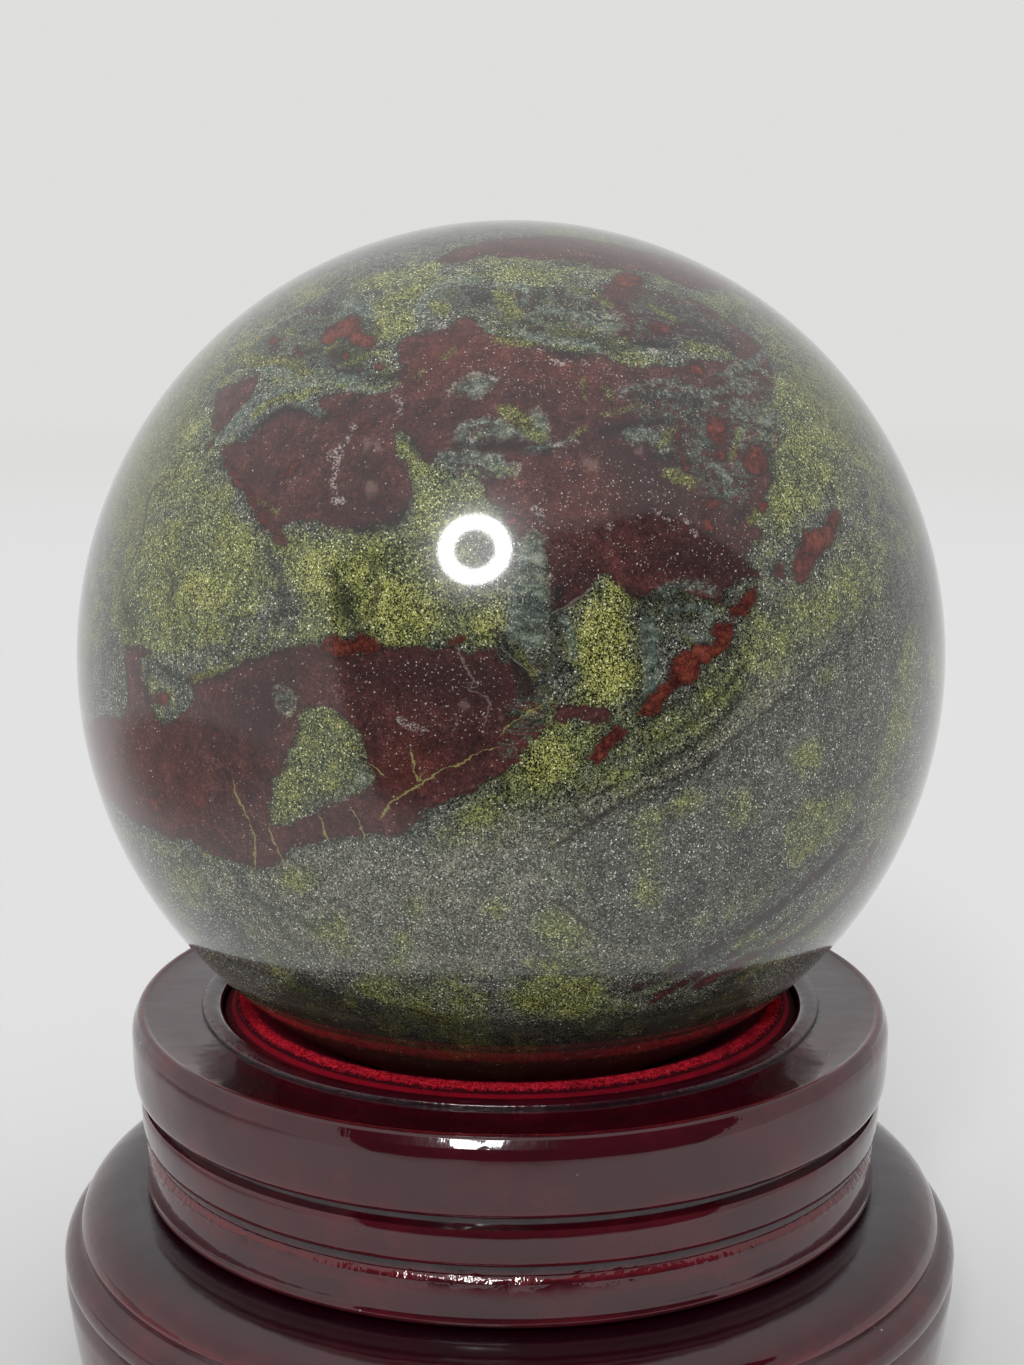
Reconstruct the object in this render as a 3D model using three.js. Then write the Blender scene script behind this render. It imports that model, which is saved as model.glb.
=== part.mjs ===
import * as THREE from "three";

// A polished jasper ball on its two-tier turned wooden stand.
// Millimetres, +Z up. The origin is the centre of the stand's flat underside.

// Driving dimensions
const BALL_RADIUS = 45;
const BALL_CENTRE_Z = 80;
const TOUCH_GAP = 0.3;
const ROUND_STEPS = 60;
const BALL_RINGS = 30;

// Upper tier: a turned drum whose side narrows towards its foot, with two scored grooves
const DRUM_RADIUS = 40.7;
const DRUM_FOOT_RADIUS = 39.2;
const DRUM_TOP_Z = 42.8;
const DRUM_TAPER_Z = 36.8;
const DRUM_BOTTOM_Z = 23.7;
const DRUM_EDGE_ROUND = 1.5;
const DRUM_FOOT_ROUND = 1.2;
const UPPER_GROOVE_Z = 34.6;
const LOWER_GROOVE_Z = 29.3;
const GROOVE_DEPTH = 0.8;
const GROOVE_HALF_HEIGHT = 0.9;

// The raised lip round the drum's recess, and the recess that holds the velvet ring
const LIP_RADIUS = 32.3;
const LIP_HALF_WIDTH = 1.2;
const LIP_RISE = 0.6;
const RECESS_FLOOR_Z = 32.6;

// Padded ring covered in velvet, which cradles the ball on its inner slope
const VELVET_OUTER_RADIUS = 30.5;
const VELVET_CREST_RADIUS = 29.1;
const VELVET_CREST_Z = 43.6;
const VELVET_PILE_ROOM = 0.3;
const CRADLE_TOP_DEG = -56;
const CRADLE_BOTTOM_DEG = -68;

// Lower tier: a wider turned base with a domed top, a bead and a side that narrows downwards
const BASE_BEAD_RADIUS = 48.5;
const BASE_BEAD_Z = 16.9;
const BASE_BEAD_ROUND = 2.2;
const BASE_ARRIS_RADIUS = 46.6;
const BASE_ARRIS_Z = 20.1;
const BASE_TOP_FLAT_RADIUS = 40.5;
const BASE_WAIST_RADIUS = 47.6;
const BASE_WAIST_Z = 7.8;
const BASE_FOOT_RADIUS = 46.5;
const BASE_FOOT_ROUND = 0.8;

function point(radius, z) {
  return new THREE.Vector2(radius, z);
}

// Points of an arc between two angles in degrees, measured from the outward direction.
function arc(centreRadius, centreZ, radius, fromDeg, toDeg, steps) {
  const points = [];
  for (let i = 0; i <= steps; i += 1) {
    const angle = THREE.MathUtils.degToRad(fromDeg + ((toDeg - fromDeg) * i) / steps);
    points.push(point(centreRadius + radius * Math.cos(angle), centreZ + radius * Math.sin(angle)));
  }
  return points;
}

// Turns a profile round the Z axis. The profile runs upwards on its outer side.
function turned(profile) {
  const geometry = new THREE.LatheGeometry(profile, ROUND_STEPS);
  geometry.rotateX(Math.PI / 2);
  return geometry;
}

function piece(name, geometry, colour, roughness) {
  const material = new THREE.MeshStandardMaterial({ color: colour, roughness, metalness: 0 });
  const mesh = new THREE.Mesh(geometry, material);
  mesh.name = name;
  return mesh;
}

function jasperSphere() {
  const geometry = new THREE.SphereGeometry(BALL_RADIUS, ROUND_STEPS, BALL_RINGS);
  geometry.rotateX(Math.PI / 2);
  const mesh = piece("jasper_sphere", geometry, 0x5a4a38, 0.08);
  mesh.position.z = BALL_CENTRE_Z;
  return mesh;
}

// A straight outer wall, a rounded crest, a slope that follows the ball and a straight inner wall.
function velvetRing() {
  const floorZ = RECESS_FLOOR_Z + TOUCH_GAP;
  const crestRound = VELVET_OUTER_RADIUS - VELVET_CREST_RADIUS;
  const cradleRadius = BALL_RADIUS + TOUCH_GAP + VELVET_PILE_ROOM;
  const innerRadius = cradleRadius * Math.cos(THREE.MathUtils.degToRad(CRADLE_BOTTOM_DEG));
  const profile = [
    point(innerRadius, floorZ),
    point(VELVET_OUTER_RADIUS, floorZ),
    ...arc(VELVET_CREST_RADIUS, VELVET_CREST_Z - crestRound, crestRound, 0, 120, 4),
    ...arc(0, BALL_CENTRE_Z, cradleRadius, CRADLE_TOP_DEG, CRADLE_BOTTOM_DEG, 2),
    point(innerRadius, floorZ),
  ];
  return piece("velvet_ring", turned(profile), 0x8e0b1c, 0.9);
}

// The drum's side is upright at the top and narrows evenly from DRUM_TAPER_Z to its foot.
function drumSideRadius(z) {
  const taper = THREE.MathUtils.clamp((DRUM_TAPER_Z - z) / (DRUM_TAPER_Z - DRUM_BOTTOM_Z), 0, 1);
  return THREE.MathUtils.lerp(DRUM_RADIUS, DRUM_FOOT_RADIUS, taper);
}

// A V groove scored round the drum's side at a height.
function groove(z) {
  return [
    point(drumSideRadius(z - GROOVE_HALF_HEIGHT), z - GROOVE_HALF_HEIGHT),
    point(drumSideRadius(z) - GROOVE_DEPTH, z),
    point(drumSideRadius(z + GROOVE_HALF_HEIGHT), z + GROOVE_HALF_HEIGHT),
  ];
}

function upperStand() {
  const footCentreRadius = DRUM_FOOT_RADIUS - DRUM_FOOT_ROUND;
  const edgeCentreRadius = DRUM_RADIUS - DRUM_EDGE_ROUND;
  const recessRadius = LIP_RADIUS - LIP_HALF_WIDTH;
  const profile = [
    point(0, DRUM_BOTTOM_Z),
    ...arc(footCentreRadius, DRUM_BOTTOM_Z + DRUM_FOOT_ROUND, DRUM_FOOT_ROUND, -90, 0, 3),
    ...groove(LOWER_GROOVE_Z),
    ...groove(UPPER_GROOVE_Z),
    point(DRUM_RADIUS, DRUM_TAPER_Z),
    ...arc(edgeCentreRadius, DRUM_TOP_Z - DRUM_EDGE_ROUND, DRUM_EDGE_ROUND, 0, 90, 4),
    point(LIP_RADIUS + LIP_HALF_WIDTH, DRUM_TOP_Z),
    point(LIP_RADIUS + LIP_HALF_WIDTH / 2, DRUM_TOP_Z + LIP_RISE),
    point(LIP_RADIUS - LIP_HALF_WIDTH / 2, DRUM_TOP_Z + LIP_RISE),
    point(recessRadius, DRUM_TOP_Z),
    point(recessRadius, RECESS_FLOOR_Z),
    point(0, RECESS_FLOOR_Z),
  ];
  return piece("upper_stand", turned(profile), 0x3a0c12, 0.15);
}

function lowerStand() {
  const topZ = DRUM_BOTTOM_Z - TOUCH_GAP;
  const domeRadius = BASE_ARRIS_RADIUS - BASE_TOP_FLAT_RADIUS;
  const domeRise = topZ - BASE_ARRIS_Z;
  const dome = [70, 45, 20].map((deg) => {
    const angle = THREE.MathUtils.degToRad(90 - deg);
    const radius = BASE_TOP_FLAT_RADIUS + domeRadius * Math.cos(angle);
    return point(radius, BASE_ARRIS_Z + domeRise * Math.sin(angle));
  });
  const profile = [
    point(0, 0),
    point(BASE_FOOT_RADIUS - BASE_FOOT_ROUND, 0),
    point(BASE_FOOT_RADIUS, BASE_FOOT_ROUND),
    point(BASE_WAIST_RADIUS, BASE_WAIST_Z),
    point(BASE_BEAD_RADIUS, BASE_BEAD_Z - BASE_BEAD_ROUND),
    ...arc(BASE_BEAD_RADIUS - BASE_BEAD_ROUND, BASE_BEAD_Z, BASE_BEAD_ROUND, 0, 80, 3),
    point(BASE_ARRIS_RADIUS, BASE_ARRIS_Z),
    ...dome,
    point(BASE_TOP_FLAT_RADIUS, topZ),
    point(0, topZ),
  ];
  return piece("lower_stand", turned(profile), 0x3a0c12, 0.15);
}

const ballOnStand = new THREE.Group();
ballOnStand.add(lowerStand(), upperStand(), velvetRing(), jasperSphere());

export default ballOnStand;
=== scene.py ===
from math import cos, hypot, pi, radians, sin, sqrt

import bmesh
import bpy
import numpy as np
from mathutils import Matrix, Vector


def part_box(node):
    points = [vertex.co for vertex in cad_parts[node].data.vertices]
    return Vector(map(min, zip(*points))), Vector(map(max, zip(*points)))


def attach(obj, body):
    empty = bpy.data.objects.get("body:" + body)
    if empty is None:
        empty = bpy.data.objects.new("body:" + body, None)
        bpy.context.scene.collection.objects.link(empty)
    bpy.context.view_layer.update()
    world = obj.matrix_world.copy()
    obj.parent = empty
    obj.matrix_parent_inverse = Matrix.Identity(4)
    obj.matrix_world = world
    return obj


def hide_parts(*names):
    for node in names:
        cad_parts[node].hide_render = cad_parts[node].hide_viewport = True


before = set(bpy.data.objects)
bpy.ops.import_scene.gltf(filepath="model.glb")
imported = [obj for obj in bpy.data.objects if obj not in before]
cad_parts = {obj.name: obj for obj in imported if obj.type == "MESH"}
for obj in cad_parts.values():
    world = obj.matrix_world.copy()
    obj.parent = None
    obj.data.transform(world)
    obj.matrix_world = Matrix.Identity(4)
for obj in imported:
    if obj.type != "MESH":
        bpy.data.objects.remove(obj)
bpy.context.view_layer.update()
MM = 0.001


# The view. The ball is seen from the front and a little above, from about a fifth of a metre away, and the
# lower edge of the picture cuts through the base. Pixels are those of the 1024 by 1365 photograph.
PHOTO_WIDTH, PHOTO_HEIGHT = 1024, 1365
FOCAL_PX = 2050
CAMERA_PLACE = Vector((0, -213.77, 117.37)) * MM
CAMERA_TILT = radians(10.67)
CAMERA_ROLL = radians(-0.144)
SENSOR_MM = 36


def linked(name, data):
    """A new object with this data, put into the scene."""
    made = bpy.data.objects.new(name, data)
    bpy.context.scene.collection.objects.link(made)
    return made


camera_data = bpy.data.cameras.new("camera")
camera_data.sensor_width = SENSOR_MM
camera_data.lens = FOCAL_PX / PHOTO_HEIGHT * SENSOR_MM
camera = linked("camera", camera_data)
camera.location = CAMERA_PLACE
camera.rotation_euler = (radians(90) - CAMERA_TILT, CAMERA_ROLL, 0)
bpy.context.scene.camera = camera
bpy.context.scene.view_settings.view_transform = "Standard"


# The white room. Soft white comes from all sides and more from overhead. In front hang a dark card, which
# shows the polish its own colours, and a small ring of light. The pale floor fades into the white.
WALL_WHITE, CEILING_WHITE = 0.68, 0.84
BEHIND_WHITE, BEHIND_CEILING_WHITE = 0.72, 0.67
SIDE_CHANGE = -0.07
SOFT_LIGHT_LOW, SOFT_LIGHT_HIGH = 0.42, 1.15
# How far a direction points up, or back, where one white starts to go over to the next and where it has
CEILING_SPAN, SOFT_LIGHT_SPAN = (0.35, 0.95), (-0.2, 0.95)
BEHIND_SPAN, BEHIND_CEILING_SPAN = (0.35, 0.85), (0.15, 0.6)
BACKDROP_COLOUR = (0.735, 0.74, 0.72, 1)
WHITE = (1, 1, 1, 1)
# The ring of light, which matt surfaces get slightly more of, and the faint glow that falls off round it
RING_AZIMUTH, RING_ELEVATION = radians(-10.7), radians(35.6)
RING_OUTER, RING_INNER, RING_SOFTNESS = radians(8.8), radians(4.9), radians(0.35)
RING_STRENGTH, RING_MATT_GAIN = 28, 1.08
GLOW_REACH, GLOW_STRENGTH, GLOW_POWER = radians(40), 1.2, 6.0
CARD_GREY = 0.06
# Corners of the card, as the tangents of their angles to the right and up, seen from the ball. Each has the
# softness of the edge that runs on from it.
CARD_LEFT = [
    (-1.24, 0.84, 0.05), (-0.17, -1.95, 0.2), (-0.02, -1.95, 0.05), (2.49, 0.87, 0.05), (0.1, 0.87, 0.05),
]
CARD_RIGHT = [(0.3, 0.84, 0.02), (2.45, 0.84, 0.04), (2.75, 1.14, 0.05), (1.1, 1.28, 0.05)]


def node(tree, kind, sockets=None, **settings):
    """Puts one shader node in the tree and wires or sets its sockets."""
    made = tree.nodes.new(kind)
    for name, value in settings.items():
        setattr(made, name, value)
    for socket, value in (sockets or {}).items():
        if isinstance(value, bpy.types.NodeSocket):
            tree.links.new(value, made.inputs[socket])
        else:
            made.inputs[socket].default_value = value
    return made.outputs


def sums(tree, operation, *terms):
    """One sum of these terms."""
    return node(tree, "ShaderNodeMath", dict(enumerate(terms)), operation=operation)[0]


def added(tree, value, *terms):
    """The value plus each term times its gain."""
    for term, gain in terms:
        value = sums(tree, "MULTIPLY_ADD", term, gain, value)
    return value


def blended(tree, amount, first, second):
    """The first value, gone over to the second by the amount."""
    return added(tree, first, (sums(tree, "SUBTRACT", second, first), amount))


def ramp(tree, value, low, high, out_low=0.0, out_high=1.0):
    """A soft step from out_low to out_high while the value goes from low to high."""
    sockets = {0: value, 1: low, 2: high, 3: out_low, 4: out_high}
    return node(tree, "ShaderNodeMapRange", sockets, interpolation_type="SMOOTHSTEP")[0]


def band(tree, value, rise, fall):
    """1 between two soft edges, 0 outside."""
    return sums(tree, "MULTIPLY", ramp(tree, value, *rise), ramp(tree, value, *fall, 1.0, 0.0))


def convex_card(tree, spot, corners):
    """1 inside the convex card, 0 outside, with a slightly soft edge."""
    inside = 1.0
    for (x0, y0, soft), (x1, y1, _) in zip(corners, corners[1:] + corners[:1]):
        length = hypot(x1 - x0, y1 - y0)
        across = (-(y1 - y0) / length, (x1 - x0) / length)
        plane = (*across, -across[0] * x0 - across[1] * y0)
        depth = node(tree, "ShaderNodeVectorMath", {0: spot, 1: plane}, operation="DOT_PRODUCT")[1]
        inside = sums(tree, "MINIMUM", inside, ramp(tree, depth, -soft, soft))
    return inside


world = bpy.data.worlds.new("white_room")
bpy.context.scene.world = world
world.use_nodes = True
room = world.node_tree
room.nodes.clear()
direction = node(room, "ShaderNodeTexCoord")["Generated"]
axis = node(room, "ShaderNodeSeparateXYZ", {0: direction})
ahead = sums(room, "MAXIMUM", sums(room, "MULTIPLY", axis[1], -1.0), 0.001)
rightward = sums(room, "DIVIDE", axis[0], ahead)
upward = sums(room, "DIVIDE", axis[2], ahead)
spot = node(room, "ShaderNodeCombineXYZ", {0: rightward, 1: upward, 2: 1.0})[0]
card = sums(room, "MAXIMUM", convex_card(room, spot, CARD_LEFT), convex_card(room, spot, CARD_RIGHT))
card = sums(room, "MULTIPLY", card, sums(room, "GREATER_THAN", ahead, 0.01))

ring_way = (
    sin(RING_AZIMUTH) * cos(RING_ELEVATION),
    -cos(RING_AZIMUTH) * cos(RING_ELEVATION),
    sin(RING_ELEVATION),
)
towards = node(room, "ShaderNodeVectorMath", {0: direction, 1: ring_way}, operation="DOT_PRODUCT")[1]
ring_angle = sums(room, "ARCCOSINE", towards)
ring = band(
    room,
    ring_angle,
    (RING_INNER - RING_SOFTNESS, RING_INNER + RING_SOFTNESS),
    (RING_OUTER - RING_SOFTNESS, RING_OUTER + RING_SOFTNESS),
)
glow_fall = {0: ring_angle, 1: RING_OUTER - RING_SOFTNESS, 2: GLOW_REACH, 3: 1.0, 4: 0.0}
glow = sums(room, "POWER", node(room, "ShaderNodeMapRange", glow_fall)[0], GLOW_POWER)

# What the polish mirrors, what lights the matt surfaces, and what shows behind the piece
white = ramp(room, axis[2], *CEILING_SPAN, WALL_WHITE, CEILING_WHITE)
behind_white = ramp(room, axis[2], *BEHIND_CEILING_SPAN, BEHIND_WHITE, BEHIND_CEILING_WHITE)
white = blended(room, ramp(room, axis[1], *BEHIND_SPAN), white, behind_white)
white = added(room, white, (axis[0], SIDE_CHANGE))
light = added(room, blended(room, card, white, CARD_GREY), (ring, RING_STRENGTH), (glow, GLOW_STRENGTH))
soft_white = ramp(room, axis[2], *SOFT_LIGHT_SPAN, SOFT_LIGHT_LOW, SOFT_LIGHT_HIGH)
soft = added(room, blended(room, card, soft_white, CARD_GREY), (ring, RING_STRENGTH * RING_MATT_GAIN))
mirrored = node(room, "ShaderNodeBackground", {"Color": WHITE, "Strength": light})
lighting = node(room, "ShaderNodeBackground", {"Color": WHITE, "Strength": soft})
backdrop = node(room, "ShaderNodeBackground", {"Color": BACKDROP_COLOUR, "Strength": 1.0})
path = node(room, "ShaderNodeLightPath")
room_light = node(room, "ShaderNodeMixShader", {0: path["Is Diffuse Ray"], 1: mirrored[0], 2: lighting[0]})
shown = node(room, "ShaderNodeMixShader", {0: path["Is Camera Ray"], 1: room_light[0], 2: backdrop[0]})
node(room, "ShaderNodeOutputWorld", {0: shown[0]})

# The floor, in metres. The floor that the ball mirrors is painted lighter towards its front, and beside the
# ball it is darkened by painted shade of this much, round this place and this far.
FLOOR_RADIUS, FLOOR_SEGMENTS = 2.0, 96
FLOOR_FADE_SPAN = (0.5, 1.9)
FLOOR_WHITE, FLOOR_FRONT_WHITE, FLOOR_FRONT_SPAN = 0.65, 0.73, (-0.1, 0.0)
FLOOR_EDGE_SPAN = (-0.21, -0.11)
FLOOR_SHADE, FLOOR_SHADE_PLACE, FLOOR_SHADE_REACH = 0.52, (-0.3, -0.03, 0), (0.1, 0.19)


def empty_material(name):
    """A material without any nodes, and its tree."""
    material = bpy.data.materials.new(name)
    material.use_nodes = True
    material.node_tree.nodes.clear()
    return material, material.node_tree


floor_mesh = bmesh.new()
bmesh.ops.create_circle(floor_mesh, cap_ends=True, segments=FLOOR_SEGMENTS, radius=FLOOR_RADIUS)
floor_data = bpy.data.meshes.new("floor")
floor_mesh.to_mesh(floor_data)
floor_mesh.free()
floor = linked("floor", floor_data)
floor_paint, paint = empty_material("pale_floor")
floor_spot = node(paint, "ShaderNodeTexCoord")["Object"]
floor_axis = node(paint, "ShaderNodeSeparateXYZ", {0: floor_spot})
from_middle = node(paint, "ShaderNodeVectorMath", {0: floor_spot}, operation="LENGTH")[1]
from_shade = node(
    paint, "ShaderNodeVectorMath", {0: floor_spot, 1: FLOOR_SHADE_PLACE}, operation="DISTANCE"
)[1]
floor_white = ramp(paint, floor_axis[1], *FLOOR_FRONT_SPAN, FLOOR_FRONT_WHITE, FLOOR_WHITE)
shading = ramp(paint, from_shade, *FLOOR_SHADE_REACH, FLOOR_SHADE, 1.0)
floor_white = sums(paint, "MULTIPLY", floor_white, shading)
past_edge = ramp(paint, floor_axis[1], *FLOOR_EDGE_SPAN, 1.0, 0.0)
# Seen straight, the floor is plain, and only what the piece mirrors has the painted shade, the lighter front
# and the front edge
seen_straight = node(paint, "ShaderNodeLightPath")["Is Camera Ray"]
past_edge = sums(paint, "MULTIPLY", past_edge, sums(paint, "SUBTRACT", 1.0, seen_straight))
floor_white = blended(paint, seen_straight, floor_white, FLOOR_WHITE)
fade = sums(paint, "MAXIMUM", ramp(paint, from_middle, *FLOOR_FADE_SPAN), past_edge)
matt = node(paint, "ShaderNodeBsdfDiffuse", {"Color": floor_white})
open_air = node(paint, "ShaderNodeBsdfTransparent")
floor_shader = node(paint, "ShaderNodeMixShader", {0: fade, 1: matt[0], 2: open_air[0]})
node(paint, "ShaderNodeOutputMaterial", {0: floor_shader[0]})
floor_data.materials.append(floor_paint)


# The ball is one piece of dragon blood jasper, ground round and polished to a mirror. Beds of maroon jasper
# lie in granular green epidote, with teal and silvery stretches, orange-red veins and healed cracks.
ball_low, ball_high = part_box("jasper_sphere")
BALL_CENTRE = (Vector(ball_low) + Vector(ball_high)) / 2
BALL_RADIUS = 45.0
BALL_STEPS = 127
FRONT_FINENESS = 0.6
# Angles from the point that faces the camera: the photograph's markings show up to the first, and chance ones
# have taken over at the second
SHOWN_ANGLE, HIDDEN_ANGLE = radians(76), radians(92)

to_camera = np.array((CAMERA_PLACE - BALL_CENTRE) / MM)
camera_reach = np.linalg.norm(to_camera)
front = to_camera / camera_reach
face_right = np.array((1.0, 0.0, 0.0))
face_up = np.cross(front, face_right)


def cube_grid(steps):
    """Directions and squares of a cube's grid that is blown up to a ball."""
    ticks = np.tan(np.linspace(-pi / 4, pi / 4, steps + 1))
    u, v = np.meshgrid(ticks, ticks, indexing="ij")
    one = np.ones_like(u)
    sides = [(u, v, one), (v, u, -one), (one, u, v), (-one, v, u), (v, one, u), (u, -one, v)]
    points = np.concatenate([np.stack(side, -1).reshape(-1, 3) for side in sides])
    row = steps + 1
    corner = (np.arange(steps)[:, None] * row + np.arange(steps)).ravel()
    squares = np.stack((corner, corner + row, corner + row + 1, corner + 1), -1)
    faces = np.concatenate([squares + i * row * row for i in range(len(sides))])
    points /= np.linalg.norm(points, axis=1)[:, None]
    _, keep, names = np.unique(np.round(points, 6), axis=0, return_index=True, return_inverse=True)
    return points[keep], names.ravel()[faces]


# The grid's squares are drawn finer on the side that faces the camera
directions, squares = cube_grid(BALL_STEPS)
polar = np.arccos(np.clip(directions[:, 2], -1, 1))
round_face = np.arctan2(directions[:, 1], directions[:, 0])
polar = 2 * np.arctan(FRONT_FINENESS * np.tan(np.minimum(polar, pi - 1e-6) / 2))
outward = (
    np.cos(polar)[:, None] * front
    + (np.sin(polar) * np.cos(round_face))[:, None] * face_right
    + (np.sin(polar) * np.sin(round_face))[:, None] * face_up
)
face_spots = BALL_RADIUS * np.column_stack((polar * np.cos(round_face), polar * np.sin(round_face)))

ball_data = bpy.data.meshes.new("jasper_ball")
ball_data.from_pydata(np.array(BALL_CENTRE) + outward * BALL_RADIUS * MM, [], squares.tolist())
ball_data.shade_smooth()
ball = linked("jasper_ball", ball_data)

# The markings are fields over the ball's points, in mm from the markings' edges and no further than this
FAR = 6.0
# How fast a pixel just off the ball's outline goes on round its edge
OFF_EDGE_PACE = 8


def on_ball(pixels):
    """Where pixels of the photograph lie on the ball, in mm along its surface from the point that faces the
    camera, to the right and up. Pixels just off the ball go on round its edge."""
    pixels = np.asarray(pixels, float)
    right = pixels[:, 0] - PHOTO_WIDTH / 2
    down = pixels[:, 1] - PHOTO_HEIGHT / 2
    right, down = (
        right * cos(CAMERA_ROLL) - down * sin(CAMERA_ROLL),
        right * sin(CAMERA_ROLL) + down * cos(CAMERA_ROLL),
    )
    forward = np.array((0, cos(CAMERA_TILT), -sin(CAMERA_TILT)))
    above = np.array((0, sin(CAMERA_TILT), cos(CAMERA_TILT)))
    rays = FOCAL_PX * forward + right[:, None] * face_right - down[:, None] * above
    rays /= np.linalg.norm(rays, axis=1)[:, None]
    to_right, to_up, inward = rays @ face_right, rays @ face_up, -(rays @ front)
    leaning = np.arctan2(np.hypot(to_right, to_up), inward)
    reach = camera_reach / BALL_RADIUS * np.sin(leaning)
    turn = np.arcsin(np.minimum(reach, 1)) - leaning + np.maximum(reach - 1, 0) * OFF_EDGE_PACE
    heading = np.arctan2(to_up, to_right)
    return BALL_RADIUS * np.column_stack((turn * np.cos(heading), turn * np.sin(heading)))


def oval(x, y, half_width, half_height):
    """Eight pixels round an oval patch."""
    angles = [i * pi / 4 for i in range(8)]
    return [(x + half_width * cos(a), y + half_height * sin(a)) for a in angles]


def rounded(points, closed):
    """A smooth line through a few points."""
    if closed:
        ends = np.vstack((points[-1:], points, points[:2]))
    else:
        ends = np.vstack((2 * points[0] - points[1], points, 2 * points[-1] - points[-2]))
    line = []
    for a, b, c, d in zip(ends, ends[1:], ends[2:], ends[3:]):
        slope = c - a
        bend = 2 * a - 5 * b + 4 * c - d
        twist = 3 * b - a - 3 * c + d
        line += [0.5 * (2 * b + slope * t + bend * t**2 + twist * t**3) for t in (0, 0.25, 0.5, 0.75)]
    if not closed:
        line.append(points[-1])
    return np.array(line)


def nearest(spots, line, closed):
    """Distance from each spot to a line, and on which side of it the spot lies."""
    starts = line if closed else line[:-1]
    ends = np.roll(line, -1, axis=0) if closed else line[1:]
    best = np.full(len(spots), 1e9)
    side = np.ones(len(spots))
    crossings = np.zeros(len(spots), int)
    for start, end in zip(starts, ends):
        along = end - start
        gap = spots - start
        t = np.clip(gap @ along / max(along @ along, 1e-9), 0, 1)
        distance = np.hypot(*(gap - t[:, None] * along).T)
        turn = along[0] * gap[:, 1] - along[1] * gap[:, 0]
        nearer = distance < best
        best[nearer] = distance[nearer]
        side[nearer] = np.sign(turn[nearer])
        spans = (start[1] > spots[:, 1]) != (end[1] > spots[:, 1])
        crossings += spans & ((turn > 0) == (end[1] > start[1]))
    if closed:
        side = np.where(crossings % 2 == 1, 1.0, -1.0)
    return best, side


def around(pixels, closed):
    """The ball's points near a line of the photograph, their distances from it and their sides of it."""
    line = rounded(on_ball(pixels), closed)
    low, high = line.min(axis=0) - FAR, line.max(axis=0) + FAR
    close = np.flatnonzero(((face_spots > low) & (face_spots < high)).all(axis=1))
    return close, *nearest(face_spots[close], line, closed)


def patches(outlines):
    """How deep each point of the ball lies inside the nearest of these outlines, in mm, below 0 outside."""
    depth = np.full(len(face_spots), -FAR)
    for outline in outlines:
        close, distance, side = around(outline, closed=True)
        depth[close] = np.maximum(depth[close], np.clip(distance * side, -FAR, FAR))
    return depth


def threads(lines):
    """The distance of each point of the ball from the nearest of these lines, in mm, below 0 on one side."""
    apart = np.full(len(face_spots), FAR)
    for pixels in lines:
        close, distance, side = around(pixels, closed=False)
        nearer = distance < np.abs(apart[close])
        apart[close[nearer]] = (distance * side)[nearer]
    return apart


def brushed(strokes):
    """How deep each point lies inside the nearest of these streaks, in mm. A streak is its half width in mm
    and the pixels of its middle line."""
    depth = np.full(len(face_spots), -FAR)
    for half_width, pixels in strokes:
        close, distance, _ = around(pixels, closed=False)
        depth[close] = np.maximum(depth[close], np.maximum(half_width - distance, -FAR))
    return depth


# The hidden side's chance patches are the high places of a swell of waves, whose usual length is given in
# spacings of the patches. They are drawn out along the beds, and finer waves break up their edges.
chance = np.random.default_rng(7)
WAVES, WAVE_LENGTH = 48, 1.7
BEDDING = np.array((0.45, 0.25, 0.85))
BEDDING /= np.linalg.norm(BEDDING)
RAGGED, RAGGED_FINENESS = 0.5, 2.9
SPACING_TO_DEPTH = 6


def rough_depth(spacing, level, stretch=1.0):
    """Chance patches for the side that the photograph doesn't show: depth in mm inside patches of about this
    spacing, over a level that sets how much of the surface they take."""
    waves = chance.normal(size=(WAVES, 3))
    waves += (stretch - 1) * (waves @ BEDDING)[:, None] * BEDDING
    waves *= 2 * pi / spacing / WAVE_LENGTH
    phases = chance.uniform(0, 2 * pi, WAVES)
    along = outward * BALL_RADIUS @ waves.T
    swell = np.cos(along + phases).sum(axis=1)
    swell += RAGGED * np.cos(along * RAGGED_FINENESS + phases[::-1]).sum(axis=1)
    return (swell / sqrt(WAVES / 2 * (1 + RAGGED**2)) - level) * spacing / SPACING_TO_DEPTH


def over_all(shown, hidden):
    """Goes over from the shown side's field to the hidden side's."""
    t = np.clip((polar - SHOWN_ANGLE) / (HIDDEN_ANGLE - SHOWN_ANGLE), 0, 1)
    t = t * t * (3 - 2 * t)
    return shown * (1 - t) + hidden * t


def field(name, values):
    """Keeps the values on the ball's points, where the stone's shader reads them by this name."""
    ball_data.attributes.new(name, "FLOAT", "POINT").data.foreach_set("value", values.astype(np.float32))


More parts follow.
